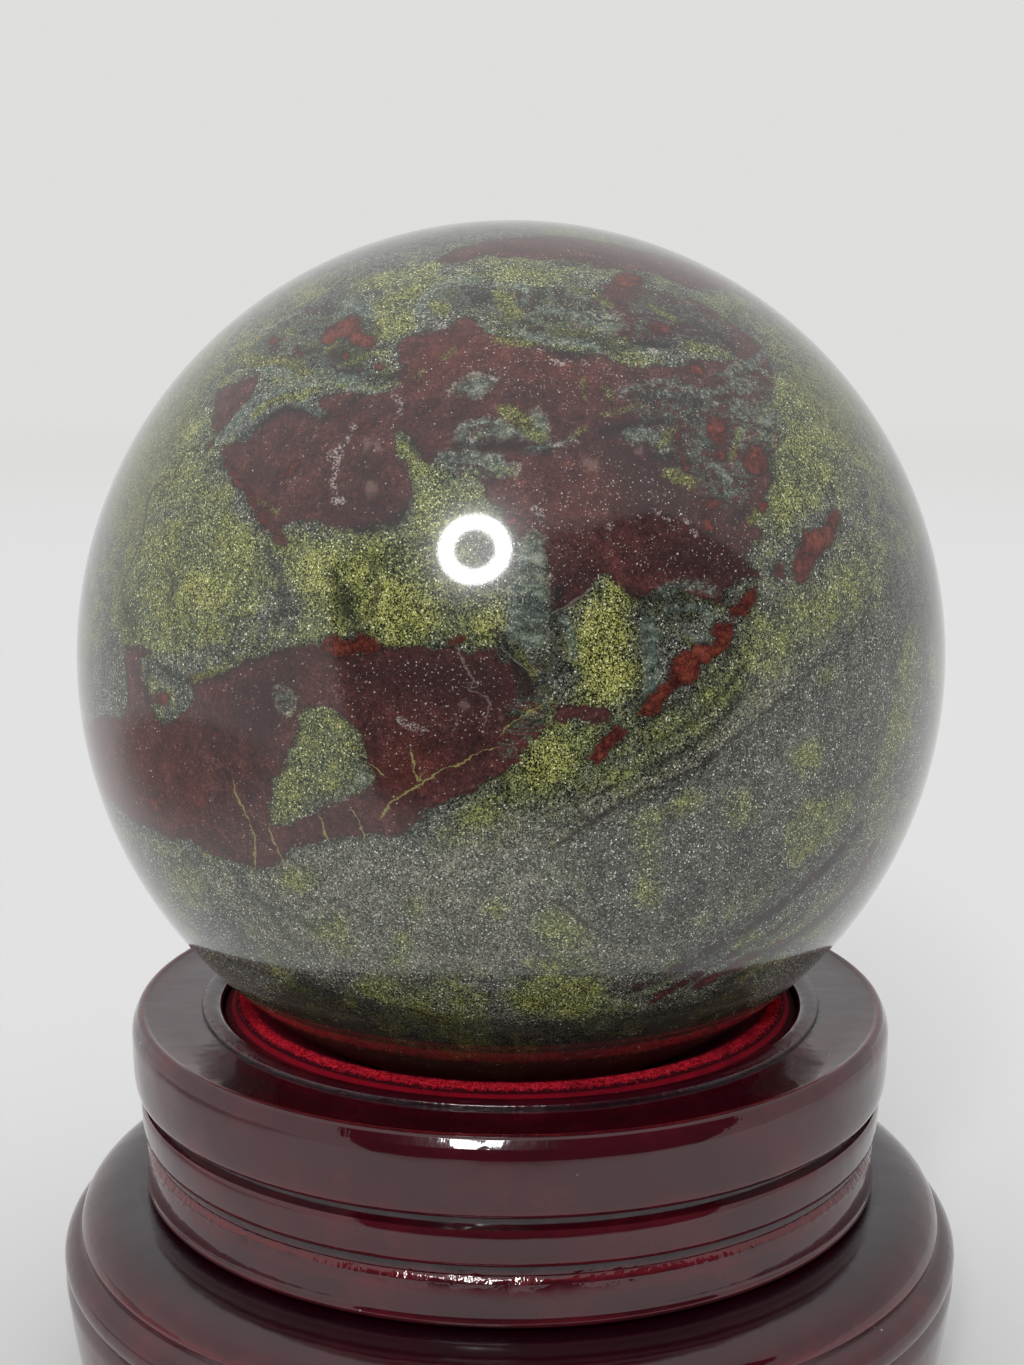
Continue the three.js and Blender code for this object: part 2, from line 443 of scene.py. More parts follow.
# Beds of maroon jasper, and the holes in them
UPPER_BEDS_PX = [
    (224, 448), (246, 439), (263, 424), (284, 411), (301, 407), (320, 413), (316, 398), (327, 395),
    (352, 392), (374, 394), (391, 388), (398, 368), (400, 351), (402, 343), (419, 334), (440, 330),
    (457, 322), (474, 317), (481, 326), (491, 334), (513, 337), (526, 341), (547, 347), (568, 356),
    (585, 354), (600, 351), (625, 366), (660, 368), (700, 362), (735, 362), (760, 370), (774, 385),
    (771, 401), (776, 418), (782, 439), (774, 454), (771, 482), (767, 497), (763, 511), (754, 518),
    (763, 533), (754, 546), (746, 561), (759, 576), (742, 580), (731, 587), (729, 595), (720, 599),
    (705, 599), (690, 591), (675, 587), (663, 587), (650, 593), (639, 597), (632, 591), (609, 576),
    (600, 580), (590, 591), (577, 602), (564, 608), (553, 614), (549, 597), (547, 576), (541, 555),
    (521, 538), (504, 515), (490, 497), (480, 484), (462, 476), (447, 465), (432, 462), (421, 452),
    (413, 439), (401, 431), (393, 441), (395, 452), (404, 462), (408, 477), (411, 492), (409, 507),
    (404, 523), (395, 525), (374, 527), (350, 525), (337, 529), (327, 525), (316, 520), (290, 523),
    (285, 533), (290, 554), (285, 546), (273, 538), (267, 530), (258, 520), (252, 511), (248, 497),
    (239, 484), (229, 471), (222, 460),
]
UPPER_LEFT_LOBE_PX = [
    (206, 447), (214, 439), (215, 396), (224, 390), (243, 379), (258, 374), (256, 381), (250, 401),
    (239, 415), (222, 431),
]
LOWER_LEFT_BED_PX = [
    (70, 760), (80, 735), (100, 721), (118, 717), (126, 710), (128, 681), (128, 649), (147, 651),
    (160, 666), (173, 672), (184, 681), (199, 676), (224, 674), (246, 663), (263, 655), (278, 650),
    (299, 646), (316, 644), (327, 651), (355, 652), (376, 649), (393, 651), (410, 644), (430, 646),
    (451, 649), (474, 653), (500, 644), (502, 657), (520, 670), (536, 674), (543, 713), (526, 708),
    (515, 715), (547, 725), (541, 732), (532, 740), (530, 751), (523, 757), (513, 766), (500, 775),
    (483, 783), (474, 790), (462, 796), (447, 801), (430, 807), (425, 815), (417, 820), (408, 833),
    (387, 833), (374, 833), (361, 837), (344, 835), (325, 841), (305, 845), (288, 854), (278, 865),
    (267, 868), (252, 867), (237, 862), (224, 858), (203, 847), (186, 839), (167, 837), (150, 828),
    (137, 824), (128, 815), (110, 800), (80, 785),
]
TOP_BAND_PX = [
    (440, 258), (470, 245), (520, 236), (580, 238), (640, 250), (690, 264), (730, 285), (700, 290),
    (660, 275), (610, 268), (570, 262), (520, 256), (480, 257), (455, 264),
]
RIGHT_TOP_BED_PX = [
    (600, 292), (612, 283), (640, 287), (680, 296), (720, 315), (760, 345), (775, 372), (750, 362),
    (715, 345), (680, 340), (650, 345), (620, 335), (600, 315),
]
LOWER_RIGHT_BANDS = [
    (0.4, [(640, 985), (690, 962), (728, 940), (762, 918), (800, 890), (832, 860), (862, 826)]),
    (0.18, [(700, 946), (742, 924), (782, 902), (816, 872)]),
    (0.2, [(668, 990), (720, 962), (770, 934), (806, 908)]),
    (0.6, [(700, 985), (752, 958), (800, 934), (838, 905), (862, 872), (874, 846)]),
    (0.35, [(800, 985), (830, 950), (866, 905), (890, 862)]),
    (0.5, [(655, 1000), (684, 982), (700, 974)]),
]
STRIP_PX = [(556, 704), (575, 706), (600, 706), (614, 712), (606, 721), (585, 721), (560, 717)]
maroon_beds = [
    UPPER_BEDS_PX, UPPER_LEFT_LOBE_PX, LOWER_LEFT_BED_PX, TOP_BAND_PX, RIGHT_TOP_BED_PX, STRIP_PX,
]
LOWER_INCLUSION_PX = [
    (301, 710), (310, 706), (325, 700), (335, 710), (352, 721), (361, 740), (363, 762), (374, 777),
    (363, 789), (348, 794), (331, 802), (310, 813), (301, 818), (275, 826), (271, 807), (275, 788),
    (280, 770), (290, 757), (293, 740), (299, 725),
]
LEFT_LOBE_PX = [
    (139, 660), (150, 655), (165, 668), (185, 682), (200, 678), (197, 690), (193, 705), (180, 715),
    (170, 722), (160, 718), (152, 705), (148, 690),
]
maroon_holes = [LOWER_INCLUSION_PX, LEFT_LOBE_PX]
# Where the beds break up, the other markings come through them in shreds. The beds are no deeper than this
# there, so that the grain's wander decides, and each stretch fades in over this many mm.
BROKEN_DEPTH, BROKEN_FADE = 0.9, 1.5
broken_stretches = [
    [(225, 370), (250, 345), (285, 320), (320, 296), (350, 285), (372, 300), (375, 325), (385, 345),
     (372, 362), (380, 378), (350, 382), (320, 380), (290, 376), (262, 372)],
    [(425, 318), (430, 292), (455, 280), (500, 285), (560, 283), (605, 290), (622, 310), (620, 340),
     (590, 350), (540, 345), (500, 330), (470, 312), (445, 318)],
    [(625, 295), (660, 290), (700, 300), (745, 335), (740, 352), (700, 355), (650, 352), (625, 335)],
    [(618, 398), (660, 375), (735, 368), (778, 390), (782, 440), (765, 475), (752, 515), (715, 512),
     (690, 490), (655, 470), (640, 430)],
    [(500, 645), (540, 655), (560, 640), (556, 700), (548, 730), (530, 755), (505, 770), (490, 740),
     (505, 700), (510, 670)],
]
broken_shown = np.clip(patches(broken_stretches) / BROKEN_FADE, 0, 1)
deepest = FAR + (BROKEN_DEPTH - FAR) * broken_shown


def shredded(values):
    """Holds a field near its edge where the beds break up, so that its chance wander decides there."""
    return np.clip(values, -deepest, deepest)


maroon_shown = np.minimum(patches(maroon_beds), -patches(maroon_holes))
maroon_shown = np.maximum(maroon_shown, brushed(LOWER_RIGHT_BANDS))
field("maroon", over_all(shredded(maroon_shown), rough_depth(42, 0.5, 1.8)))
field("broken", over_all(broken_shown, np.clip(rough_depth(30, 1.0), 0, 1)))

# Redder and duller stretches of the beds, drawn in a little from their outlines
WARM_INSET, DULL_INSET = 0.6, 0.4
warm_stretches = [
    [(402, 345), (440, 332), (475, 320), (520, 340), (570, 356), (600, 360), (610, 385), (590, 400),
     (550, 400), (520, 390), (500, 372), (480, 372), (450, 380), (425, 395), (405, 380)],
    [(80, 760), (100, 722), (128, 712), (140, 730), (165, 722), (190, 740), (205, 770), (212, 800),
     (200, 830), (160, 835), (130, 820), (90, 800)],
    [(222, 452), (235, 445), (250, 470), (262, 500), (285, 535), (275, 540), (250, 505), (235, 480)],
    [(505, 480), (560, 458), (620, 465), (640, 500), (600, 525), (560, 535), (530, 515)],
    [(380, 745), (430, 730), (450, 760), (430, 790), (395, 800), (372, 775)],
    [(500, 755), (515, 738), (535, 735), (525, 755), (505, 770)],
    [(850, 890), (868, 862), (876, 842), (884, 850), (868, 884), (846, 908)], oval(130, 745, 30, 25),
    oval(625, 282, 30, 12), oval(350, 335, 30, 12),
]
dull_stretches = [
    [(230, 690), (262, 668), (300, 655), (300, 690), (280, 730), (262, 750), (240, 730)],
    [(330, 515), (350, 500), (385, 498), (408, 505), (405, 520), (380, 525), (350, 527)],
    [(640, 560), (680, 530), (740, 540), (758, 575), (730, 590), (690, 585)],
    [(590, 425), (640, 405), (690, 430), (690, 520), (640, 525), (610, 490), (600, 460)],
    [(640, 300), (700, 310), (745, 345), (700, 362), (640, 350)], oval(365, 480, 14, 30),
    oval(262, 475, 14, 12),
    [(340, 655), (430, 650), (500, 655), (520, 700), (480, 720), (420, 700), (360, 690)],
    [(545, 590), (560, 560), (600, 560), (590, 590), (560, 610)],
    [(640, 995), (690, 950), (760, 905), (820, 860), (860, 815), (870, 830), (835, 880), (780, 925),
     (700, 975)],
]
# Where the beds are strewn with pale dust
dusty_stretches = [
    [(335, 655), (400, 650), (500, 655), (525, 690), (500, 730), (440, 740), (400, 770), (375, 745),
     (350, 710)],
    [(560, 450), (640, 470), (700, 500), (760, 520), (755, 570), (690, 590), (640, 570), (590, 530),
     (560, 500)],
    [(480, 335), (570, 350), (640, 372), (720, 400), (700, 430), (620, 410), (560, 400), (480, 395)],
    [(500, 500), (560, 470), (600, 530), (590, 590), (550, 600), (535, 545)],
]
field("dusty", over_all(patches(dusty_stretches), rough_depth(26, 0.6)))
# Dark stretches of the stone. The first, at the ball's bottom just above the velvet, is painted shade where
# the ball sits in the cradle
dark_and_shaded_stretches = [
    [(280, 985), (400, 1008), (500, 1020), (600, 1016), (700, 998), (750, 985), (720, 1070), (512, 1110),
     (310, 1070)],
    [(634, 580), (650, 592), (655, 640), (645, 690), (634, 720), (642, 660)], oval(350, 600, 13, 20),
    oval(560, 640, 9, 28), oval(676, 606, 24, 18), oval(470, 660, 34, 9), oval(716, 596, 14, 12),
    oval(130, 620, 10, 20), oval(345, 360, 18, 10),
]
field("dark", over_all(patches(dark_and_shaded_stretches), rough_depth(18, 0.9)))
field("warm", over_all(patches(warm_stretches) - WARM_INSET, rough_depth(14, 0.7)))
field("dull", over_all(patches(dull_stretches) - DULL_INSET, rough_depth(16, 0.8)))

# Stretches where the green grains are dense and bright, and one where they are half as dense
BLOB_PX = [
    (609, 576), (622, 580), (632, 591), (630, 617), (632, 631), (630, 653), (643, 666), (643, 678),
    (632, 687), (622, 698), (611, 708), (590, 708), (577, 700), (585, 676), (577, 661), (573, 644),
    (581, 627), (587, 614), (596, 597), (602, 585),
]
BAND_PX = [
    (536, 736), (547, 725), (560, 721), (585, 723), (594, 736), (592, 749), (581, 762), (568, 781),
    (555, 794), (536, 796), (521, 804), (504, 803), (487, 818), (474, 830), (462, 837), (451, 843),
    (430, 850), (449, 830), (459, 818), (474, 805), (491, 794), (504, 779), (525, 760),
]
WEDGE_PX = [
    (401, 431), (413, 439), (421, 452), (432, 462), (447, 465), (462, 478), (480, 490), (490, 505),
    (460, 530), (440, 560), (425, 545), (408, 538), (404, 523), (409, 507), (411, 492), (408, 477),
    (404, 462), (395, 452), (393, 441),
]
LEFT_BODY_PX = [
    (115, 590), (125, 560), (150, 530), (175, 515), (215, 510), (250, 525), (265, 545), (272, 575),
    (262, 600), (240, 630), (205, 645), (165, 655), (130, 640), (112, 615),
]
LEFT_STRIP_PX = [
    (110, 520), (125, 470), (150, 420), (180, 375), (210, 345), (230, 335), (215, 365), (205, 400),
    (200, 440), (205, 470), (222, 500), (190, 505), (150, 520), (125, 545),
]
MIDDLE_FIELD_PX = [
    (245, 545), (290, 530), (330, 535), (380, 530), (410, 540), (430, 570), (440, 600), (490, 600),
    (500, 630), (480, 648), (440, 645), (400, 650), (380, 632), (350, 630), (320, 642), (290, 645),
    (300, 600), (280, 560),
]
RIGHT_FIELD_PX = [
    (780, 385), (800, 370), (830, 365), (850, 380), (862, 420), (850, 450), (835, 480), (820, 500),
    (800, 520), (785, 540), (770, 530), (765, 500), (775, 460), (782, 420),
]
BELOW_LENS_PX = [
    (760, 610), (790, 600), (820, 580), (850, 555), (880, 550), (870, 580), (840, 610), (810, 640),
    (780, 665), (740, 690), (700, 725), (660, 760), (630, 775), (640, 740), (670, 720), (710, 690),
    (740, 650),
]
green_stretches = [
    BLOB_PX, BAND_PX, WEDGE_PX, LOWER_INCLUSION_PX, LEFT_BODY_PX, LEFT_STRIP_PX, MIDDLE_FIELD_PX,
    RIGHT_FIELD_PX, oval(520, 424, 20, 12), oval(684, 477, 15, 10), oval(445, 305, 7, 7),
    oval(512, 300, 10, 10), [(793, 756), (805, 745), (821, 742), (822, 756), (812, 770), (798, 772)],
    [(727, 815), (730, 800), (742, 794), (756, 800), (757, 814), (745, 826), (732, 825)],
    [(791, 862), (787, 845), (797, 815), (815, 800), (845, 790), (855, 805), (845, 825), (825, 845),
     (805, 860)],
    [(637, 822), (650, 815), (670, 805), (690, 790), (700, 800), (690, 812), (665, 818), (658, 830),
     (656, 860), (650, 872), (640, 862)],
    oval(648, 892, 11, 15),
    [(540, 912), (555, 905), (570, 915), (585, 930), (588, 942), (570, 948), (545, 945), (535, 930)],
    oval(563, 963, 34, 8), oval(557, 996, 52, 22), oval(413, 907, 8, 9), oval(403, 941, 10, 10),
    oval(498, 907, 8, 7), oval(378, 988, 20, 13), oval(826, 676, 5, 9), oval(330, 928, 16, 14),
    oval(395, 962, 10, 7), oval(300, 880, 22, 12), oval(345, 945, 8, 12),
    [(905, 640), (895, 700), (885, 750), (875, 790), (895, 770), (912, 710), (918, 650)],
    [(355, 287), (376, 275), (398, 269), (423, 265), (449, 257), (449, 262), (425, 275), (404, 283),
     (374, 292)],
    [(376, 300), (400, 290), (425, 276), (436, 280), (425, 300), (415, 310), (415, 325), (400, 338),
     (385, 340), (375, 330)],
    [(455, 283), (470, 273), (495, 266), (520, 261), (545, 268), (566, 275), (560, 283), (540, 290),
     (525, 285), (495, 280)],
    [(545, 230), (590, 235), (640, 250), (675, 266), (640, 262), (590, 248), (550, 240)],
]
THIN_GREEN = 0.35
green_shown = np.maximum(patches(green_stretches), patches([BELOW_LENS_PX]) * THIN_GREEN)
field("green", over_all(green_shown, rough_depth(24, 0.35, 1.3)))

# The brightest clusters of green grains
bright_clusters = [
    BLOB_PX, oval(395, 608, 32, 32), oval(320, 572, 20, 18), oval(358, 572, 12, 14), oval(495, 622, 7, 20),
    oval(205, 590, 20, 18), oval(550, 760, 28, 22),
]
field("bright", over_all(patches(bright_clusters), rough_depth(16, 1.2)))

# Smooth grey-teal wisps. Where the beds break up, their field falls no lower than this, so that more of them
# come up.
TEAL_LOWEST = -1.5
teal_wisps = [
    [(455, 392), (460, 384), (472, 378), (485, 376), (496, 376), (490, 388), (480, 396), (468, 396)],
    [(455, 436), (470, 424), (495, 420), (520, 428), (535, 412), (546, 416), (549, 432), (545, 444),
     (525, 438), (500, 440), (475, 444)],
    [(445, 462), (460, 456), (483, 457), (504, 464), (517, 470), (500, 478), (474, 483), (455, 480)],
    [(758, 402), (774, 403), (778, 425), (774, 445), (760, 445), (757, 425)],
    [(345, 325), (340, 305), (355, 298), (372, 303), (372, 318), (360, 318)],
    [(222, 440), (228, 428), (240, 412), (254, 400), (264, 398), (262, 412), (252, 425), (238, 436)],
    [(513, 625), (515, 590), (518, 560), (530, 535), (545, 540), (547, 580), (550, 610), (545, 640),
     (525, 655)],
    [(643, 622), (650, 612), (657, 630), (659, 660), (656, 692), (648, 700), (646, 672), (644, 645)],
    [(684, 628), (706, 634), (728, 628), (734, 640), (716, 650), (694, 646)], oval(736, 371, 8, 7),
    oval(608, 322, 16, 9), oval(285, 700, 10, 12),
    [(363, 762), (374, 777), (363, 789), (348, 796), (331, 804), (335, 795), (352, 785), (358, 775)],
]
teal_lowest = TEAL_LOWEST - (FAR + TEAL_LOWEST) * (1 - broken_shown)
teal_shown = np.clip(patches(teal_wisps), teal_lowest, FAR)
field("teal", over_all(teal_shown, rough_depth(20, 1.25, 1.5)))

# Brushed streaks: pale grey-teal wisps, strings of green grains, dark outlines and pale flecks
wisp_strokes = [
    (0.5, [(222, 437), (236, 421), (252, 406), (268, 396), (290, 388)]),
    (0.28, [(290, 388), (318, 386), (345, 385), (366, 387), (382, 389), (398, 383)]),
    (0.45, [(352, 386), (366, 389), (380, 388)]), (0.35, [(300, 404), (312, 407), (322, 414)]),
    (0.4, [(262, 368), (278, 371), (294, 378), (306, 385)]), (0.5, [(320, 376), (345, 378), (362, 376)]),
    (0.8, [(436, 304), (440, 290), (456, 282), (476, 280)]), (0.4, [(420, 318), (424, 300), (434, 286)]),
    (0.45, [(520, 286), (530, 294), (522, 304)]), (0.5, [(540, 310), (570, 312), (596, 322)]),
    (0.5, [(516, 332), (545, 340), (580, 342), (600, 350)]), (0.35, [(484, 322), (492, 330)]),
    (0.28, [(620, 393), (636, 387), (655, 383), (671, 382), (686, 388), (701, 393)]),
    (0.5, [(700, 394), (722, 391), (741, 380), (754, 363), (766, 353)]),
    (0.25, [(636, 388), (652, 391), (668, 394), (690, 398)]), (0.6, [(632, 436), (646, 434), (660, 440)]),
    (0.3, [(640, 350), (652, 351)]), (0.3, [(703, 420), (704, 434), (701, 448)]),
    (0.35, [(740, 440), (745, 424), (750, 408)]), (0.5, [(716, 468), (726, 478), (730, 490)]),
    (0.2, [(462, 425), (480, 422), (500, 423), (520, 431)]),
    (0.2, [(528, 450), (546, 447), (562, 444), (576, 437)]), (0.6, [(444, 457), (470, 455), (498, 460)]),
    (0.3, [(735, 420), (738, 404), (746, 390), (757, 379)]), (0.45, [(513, 640), (517, 600), (524, 560)]),
    (0.45, [(650, 618), (652, 655), (651, 695)]), (0.3, [(560, 616), (572, 630), (574, 655)]),
    (0.3, [(664, 590), (690, 584), (716, 592)]), (0.35, [(670, 612), (695, 606), (716, 618)]),
    (0.3, [(345, 300), (362, 306), (374, 318)]), (0.3, [(250, 340), (275, 325), (300, 312)]),
]
lime_strokes = [
    (0.85, [(240, 357), (262, 362)]), (0.5, [(268, 361), (284, 361), (298, 364)]),
    (0.3, [(300, 372), (312, 373)]), (0.45, [(256, 416), (266, 405), (282, 398), (302, 396)]),
    (0.4, [(305, 397), (309, 391)]), (0.16, [(312, 390), (330, 387), (346, 386)]),
    (0.14, [(374, 389), (386, 386), (399, 382)]), (0.3, [(326, 351), (334, 345), (342, 338)]),
    (0.45, [(350, 363), (364, 358), (384, 352)]), (0.25, [(290, 329), (296, 336), (302, 341)]),
    (0.2, [(418, 379), (424, 370)]), (0.16, [(444, 358), (456, 350)]), (0.7, [(436, 304), (446, 310)]),
    (0.9, [(502, 294), (509, 303), (515, 313)]), (0.5, [(578, 290), (592, 292), (608, 304)]),
    (0.4, [(650, 304), (660, 312), (674, 318)]), (0.7, [(692, 346), (704, 348), (716, 351)]),
    (0.75, [(508, 411), (520, 418), (532, 430), (540, 436)]), (0.6, [(670, 474), (680, 478), (690, 482)]),
    (0.14, [(605, 415), (625, 411), (641, 405)]), (0.14, [(575, 436), (586, 428)]),
    (0.12, [(583, 380), (586, 398)]), (0.3, [(660, 446), (668, 438), (674, 430)]),
    (0.25, [(732, 458), (736, 444), (740, 432)]), (0.4, [(500, 340), (530, 345)]),
    (0.5, [(755, 520), (762, 508)]), (0.12, [(260, 502), (278, 512)]),
    (0.35, [(560, 330), (580, 334), (596, 330)]), (0.3, [(612, 400), (606, 388)]),
    (0.2, [(194, 678), (214, 672), (240, 660)]), (0.22, [(512, 640), (524, 658), (536, 676)]),
    (0.2, [(600, 592), (618, 588)]), (0.3, [(688, 640), (704, 660), (722, 650)]),
]
shade_strokes = [
    (0.5, [(240, 441), (258, 426), (280, 413), (302, 409), (326, 416)]),
    (0.5, [(326, 352), (342, 356), (356, 362)]), (0.35, [(310, 352), (320, 350)]),
    (0.55, [(350, 372), (372, 378), (396, 376)]), (0.3, [(372, 320), (380, 332)]),
    (0.3, [(402, 432), (414, 443), (426, 454), (441, 460), (452, 459)]), (0.7, [(478, 300), (492, 296)]),
    (0.6, [(640, 393), (668, 397), (700, 401)]), (0.55, [(460, 446), (500, 445), (548, 449)]),
    (0.35, [(600, 432), (640, 424), (676, 420)]), (0.4, [(655, 458), (672, 456), (690, 462)]),
    (0.35, [(690, 320), (712, 332), (736, 348)]), (0.5, [(552, 350), (580, 356), (612, 340)]),
    (0.45, [(360, 396), (352, 402)]), (0.8, [(505, 640), (520, 660), (528, 690)]),
    (0.5, [(560, 590), (556, 620)]), (0.5, [(736, 520), (748, 508)]),
    (0.6, [(610, 350), (640, 345), (668, 344)]), (0.4, [(770, 450), (776, 480)]),
    (0.5, [(404, 512), (396, 524), (360, 530)]), (0.35, [(630, 590), (650, 600), (664, 594)]),
    (0.22, [(112, 640), (121, 647), (137, 650), (157, 664), (177, 677), (194, 682), (222, 675),
     (242, 664), (290, 649)]),
    (0.3, [(150, 702), (146, 688), (150, 672)]),
    (0.25, [(640, 725), (672, 706), (700, 690), (724, 664), (738, 640)]),
    (0.35, [(650, 768), (690, 748), (726, 716), (756, 682)]),
    (0.25, [(648, 744), (684, 728), (716, 700), (744, 668)]),
    (0.3, [(268, 548), (279, 575), (286, 602), (276, 622)]), (0.35, [(166, 566), (176, 582), (170, 600)]),
    (0.3, [(330, 572), (344, 590), (350, 612), (362, 632)]), (0.25, [(372, 560), (378, 590), (372, 618)]),
    (0.3, [(630, 992), (690, 968), (750, 930), (810, 886), (862, 832)]),
    (0.4, [(720, 985), (780, 950), (840, 900)]),
    (0.3, [(236, 872), (250, 890), (266, 905), (280, 925), (296, 945)]),
    (0.25, [(262, 903), (290, 914), (320, 932)]), (0.2, [(330, 900), (352, 910), (372, 928)]),
    (0.1, [(560, 846), (600, 818), (650, 795), (700, 770), (740, 736)]),
]
fleck_strokes = [
    (0.22, [(355, 427), (348, 440), (339, 450)]), (0.42, [(331, 456), (340, 455)]),
    (0.18, [(337, 462), (336, 474), (333, 484)]), (0.2, [(334, 484), (338, 494)]),
    (0.38, [(337, 500), (342, 501)]), (0.26, [(396, 397), (401, 404), (402, 413)]),
    (0.3, [(441, 325), (446, 326)]), (0.3, [(650, 350), (656, 351)]), (0.26, [(553, 362), (560, 363)]),
    (0.16, [(540, 350), (541, 350)]), (0.16, [(545, 348), (546, 348)]), (0.14, [(568, 360), (572, 360)]),
    (0.14, [(583, 362), (587, 362)]), (0.14, [(597, 353), (601, 352)]), (0.18, [(487, 376), (496, 378)]),
    (0.24, [(594, 315), (597, 317)]), (0.18, [(609, 317), (612, 317)]), (0.2, [(712, 346), (716, 348)]),
    (0.18, [(736, 343), (739, 344)]), (0.16, [(680, 343), (683, 343)]), (0.24, [(555, 446), (563, 444)]),
    (0.2, [(470, 440), (473, 440)]), (0.18, [(502, 432), (505, 432)]), (0.34, [(537, 509), (542, 514)]),
    (0.26, [(609, 526), (612, 527)]), (0.2, [(662, 451), (669, 450)]), (0.16, [(657, 510), (660, 512)]),
    (0.2, [(665, 517), (668, 519)]), (0.18, [(687, 521), (690, 523)]), (0.2, [(694, 531), (696, 534)]),
    (0.16, [(674, 528), (676, 528)]), (0.2, [(400, 720), (405, 722)]), (0.24, [(410, 726), (416, 727)]),
    (0.2, [(424, 730), (428, 732)]), (0.2, [(452, 722), (456, 725)]), (0.16, [(716, 403), (719, 404)]),
    (0.14, [(446, 456), (450, 456)]), (0.14, [(283, 431), (286, 432)]),
]
field("wisp", over_all(brushed(wisp_strokes), rough_depth(9, 1.5, 2.2)))
field("lime", over_all(brushed(lime_strokes), rough_depth(8, 1.7, 1.6)))
field("shade", over_all(brushed(shade_strokes), rough_depth(9, 1.6, 1.6)))
field("fleck", over_all(brushed(fleck_strokes), rough_depth(7, 2.2)))

# Pinkish stains in the beds
pink_stains = [
    [(582, 459), (590, 457), (598, 462), (599, 470), (590, 468)], oval(367, 446, 4, 8),
    oval(378, 447, 3, 5), oval(465, 705, 6, 5), oval(503, 719, 4, 4), oval(372, 490, 6, 11),
    oval(496, 314, 7, 3), oval(528, 359, 3, 2), oval(310, 340, 8, 5), oval(325, 300, 9, 7),
    oval(640, 452, 6, 4),
]
field("pink", over_all(patches(pink_stains), rough_depth(12, 1.9)))

# Orange-red veins and flecks
LENS_PX = [
    (838, 512), (830, 515), (822, 530), (805, 535), (795, 560), (795, 575), (805, 585), (812, 570),
    (830, 545), (840, 525),
]
red_veins = [
    [(323, 341), (327, 328), (337, 324), (352, 315), (361, 317), (363, 330), (374, 339), (378, 343),
     (369, 349), (359, 345), (350, 339), (342, 337), (333, 343)],
    [(615, 280), (622, 273), (636, 274), (647, 281), (640, 287), (624, 286)],
    [(707, 430), (713, 421), (724, 420), (729, 428), (722, 440), (712, 441)],
    [(318, 650), (330, 635), (345, 642), (360, 634), (372, 638), (380, 650), (360, 655), (335, 655)],
    [(735, 617), (731, 610), (737, 604), (748, 593), (757, 589), (758, 597), (752, 608), (742, 617)],
    [(735, 623), (720, 623), (714, 631), (716, 644), (699, 646), (684, 653), (675, 661), (667, 683),
     (654, 693), (646, 704), (639, 715), (646, 719), (658, 713), (669, 695), (684, 687), (695, 681),
     (703, 666), (720, 655), (729, 644), (733, 634)],
    [(609, 732), (617, 727), (626, 732), (624, 740), (611, 747), (607, 757), (596, 764), (590, 757),
     (598, 749), (602, 738)],
    LENS_PX, oval(161, 699, 8, 6), oval(697, 370, 6, 5), oval(780, 571, 5, 9), oval(274, 342, 5, 6),
    oval(300, 352, 4, 5), oval(346, 356, 3, 3), oval(360, 370, 4, 3), oval(380, 367, 4, 2),
    oval(158, 802, 9, 9), oval(343, 415, 5, 5), oval(575, 475, 5, 2), oval(458, 640, 13, 4),
    oval(660, 328, 10, 6), oval(513, 521, 4, 3), oval(418, 381, 3, 2),
    [(712, 418), (724, 420), (730, 432), (724, 445), (712, 440)], oval(758, 460, 11, 14),
    oval(720, 455, 7, 4), oval(764, 506, 5, 5), oval(715, 504, 10, 4),
    [(700, 500), (708, 508), (714, 530), (706, 526)],
]
red_strokes = [
    (0.24, [(223, 459), (235, 475), (246, 490), (256, 510), (266, 522)]),
    (0.2, [(280, 475), (290, 472), (297, 465)]), (0.2, [(420, 412), (429, 408), (436, 403)]),
    (0.2, [(361, 430), (368, 426), (375, 422)]), (0.16, [(678, 434), (680, 450), (688, 468)]),
    (0.18, [(616, 505), (620, 513), (620, 522)]), (0.25, [(327, 497), (330, 508)]),
    (0.2, [(372, 498), (382, 502)]), (0.18, [(560, 264), (578, 265)]),
]
red_shown = np.maximum(patches(red_veins), brushed(red_strokes))
field("red", over_all(red_shown, rough_depth(15, 1.7, 1.6)))

# Stretches where the grain is finest and its contrast calm, with a slow way in and out
CALM_SLOWNESS = 3.0
calm_stretches = [
    [(60, 700), (80, 560), (120, 440), (190, 330), (300, 245), (420, 205), (600, 205), (760, 270),
     (850, 360), (920, 480), (960, 640), (900, 640), (870, 500), (800, 400), (700, 315), (600, 275),
     (440, 262), (340, 300), (250, 360), (185, 440), (150, 530), (120, 620), (110, 700)],
]
field("calm", over_all(patches(calm_stretches) / CALM_SLOWNESS, rough_depth(30, 0.8)))

# The dark, sparkling stretch at the lower right, and the pale sparkling one below the beds
SILVER_PX = [
    (560, 850), (595, 825), (635, 800), (656, 792), (688, 777), (710, 764), (737, 742), (771, 714),
    (801, 690), (823, 665), (850, 645), (870, 620), (895, 600), (900, 640), (890, 720), (870, 780),
    (830, 850), (780, 880), (740, 900), (670, 925), (620, 915), (580, 890),
]
PALE_PX = [
    (215, 870), (260, 868), (300, 855), (350, 845), (420, 850), (480, 840), (540, 812), (600, 790),
    (640, 780), (690, 740), (740, 700), (780, 670), (800, 680), (740, 735), (690, 770), (640, 795),
    (560, 848), (560, 880), (600, 930), (660, 945), (640, 965), (560, 960), (480, 972), (380, 976),
    (300, 960), (250, 930), (220, 895),
]
GREY_MIX_PX = [(551, 614), (572, 625), (570, 660), (585, 700), (560, 702), (545, 670)]
field("silver", over_all(patches([SILVER_PX, GREY_MIX_PX]), rough_depth(40, 0.7, 1.5)))
field("ashen", over_all(patches([PALE_PX]), rough_depth(36, 0.9, 1.5)))

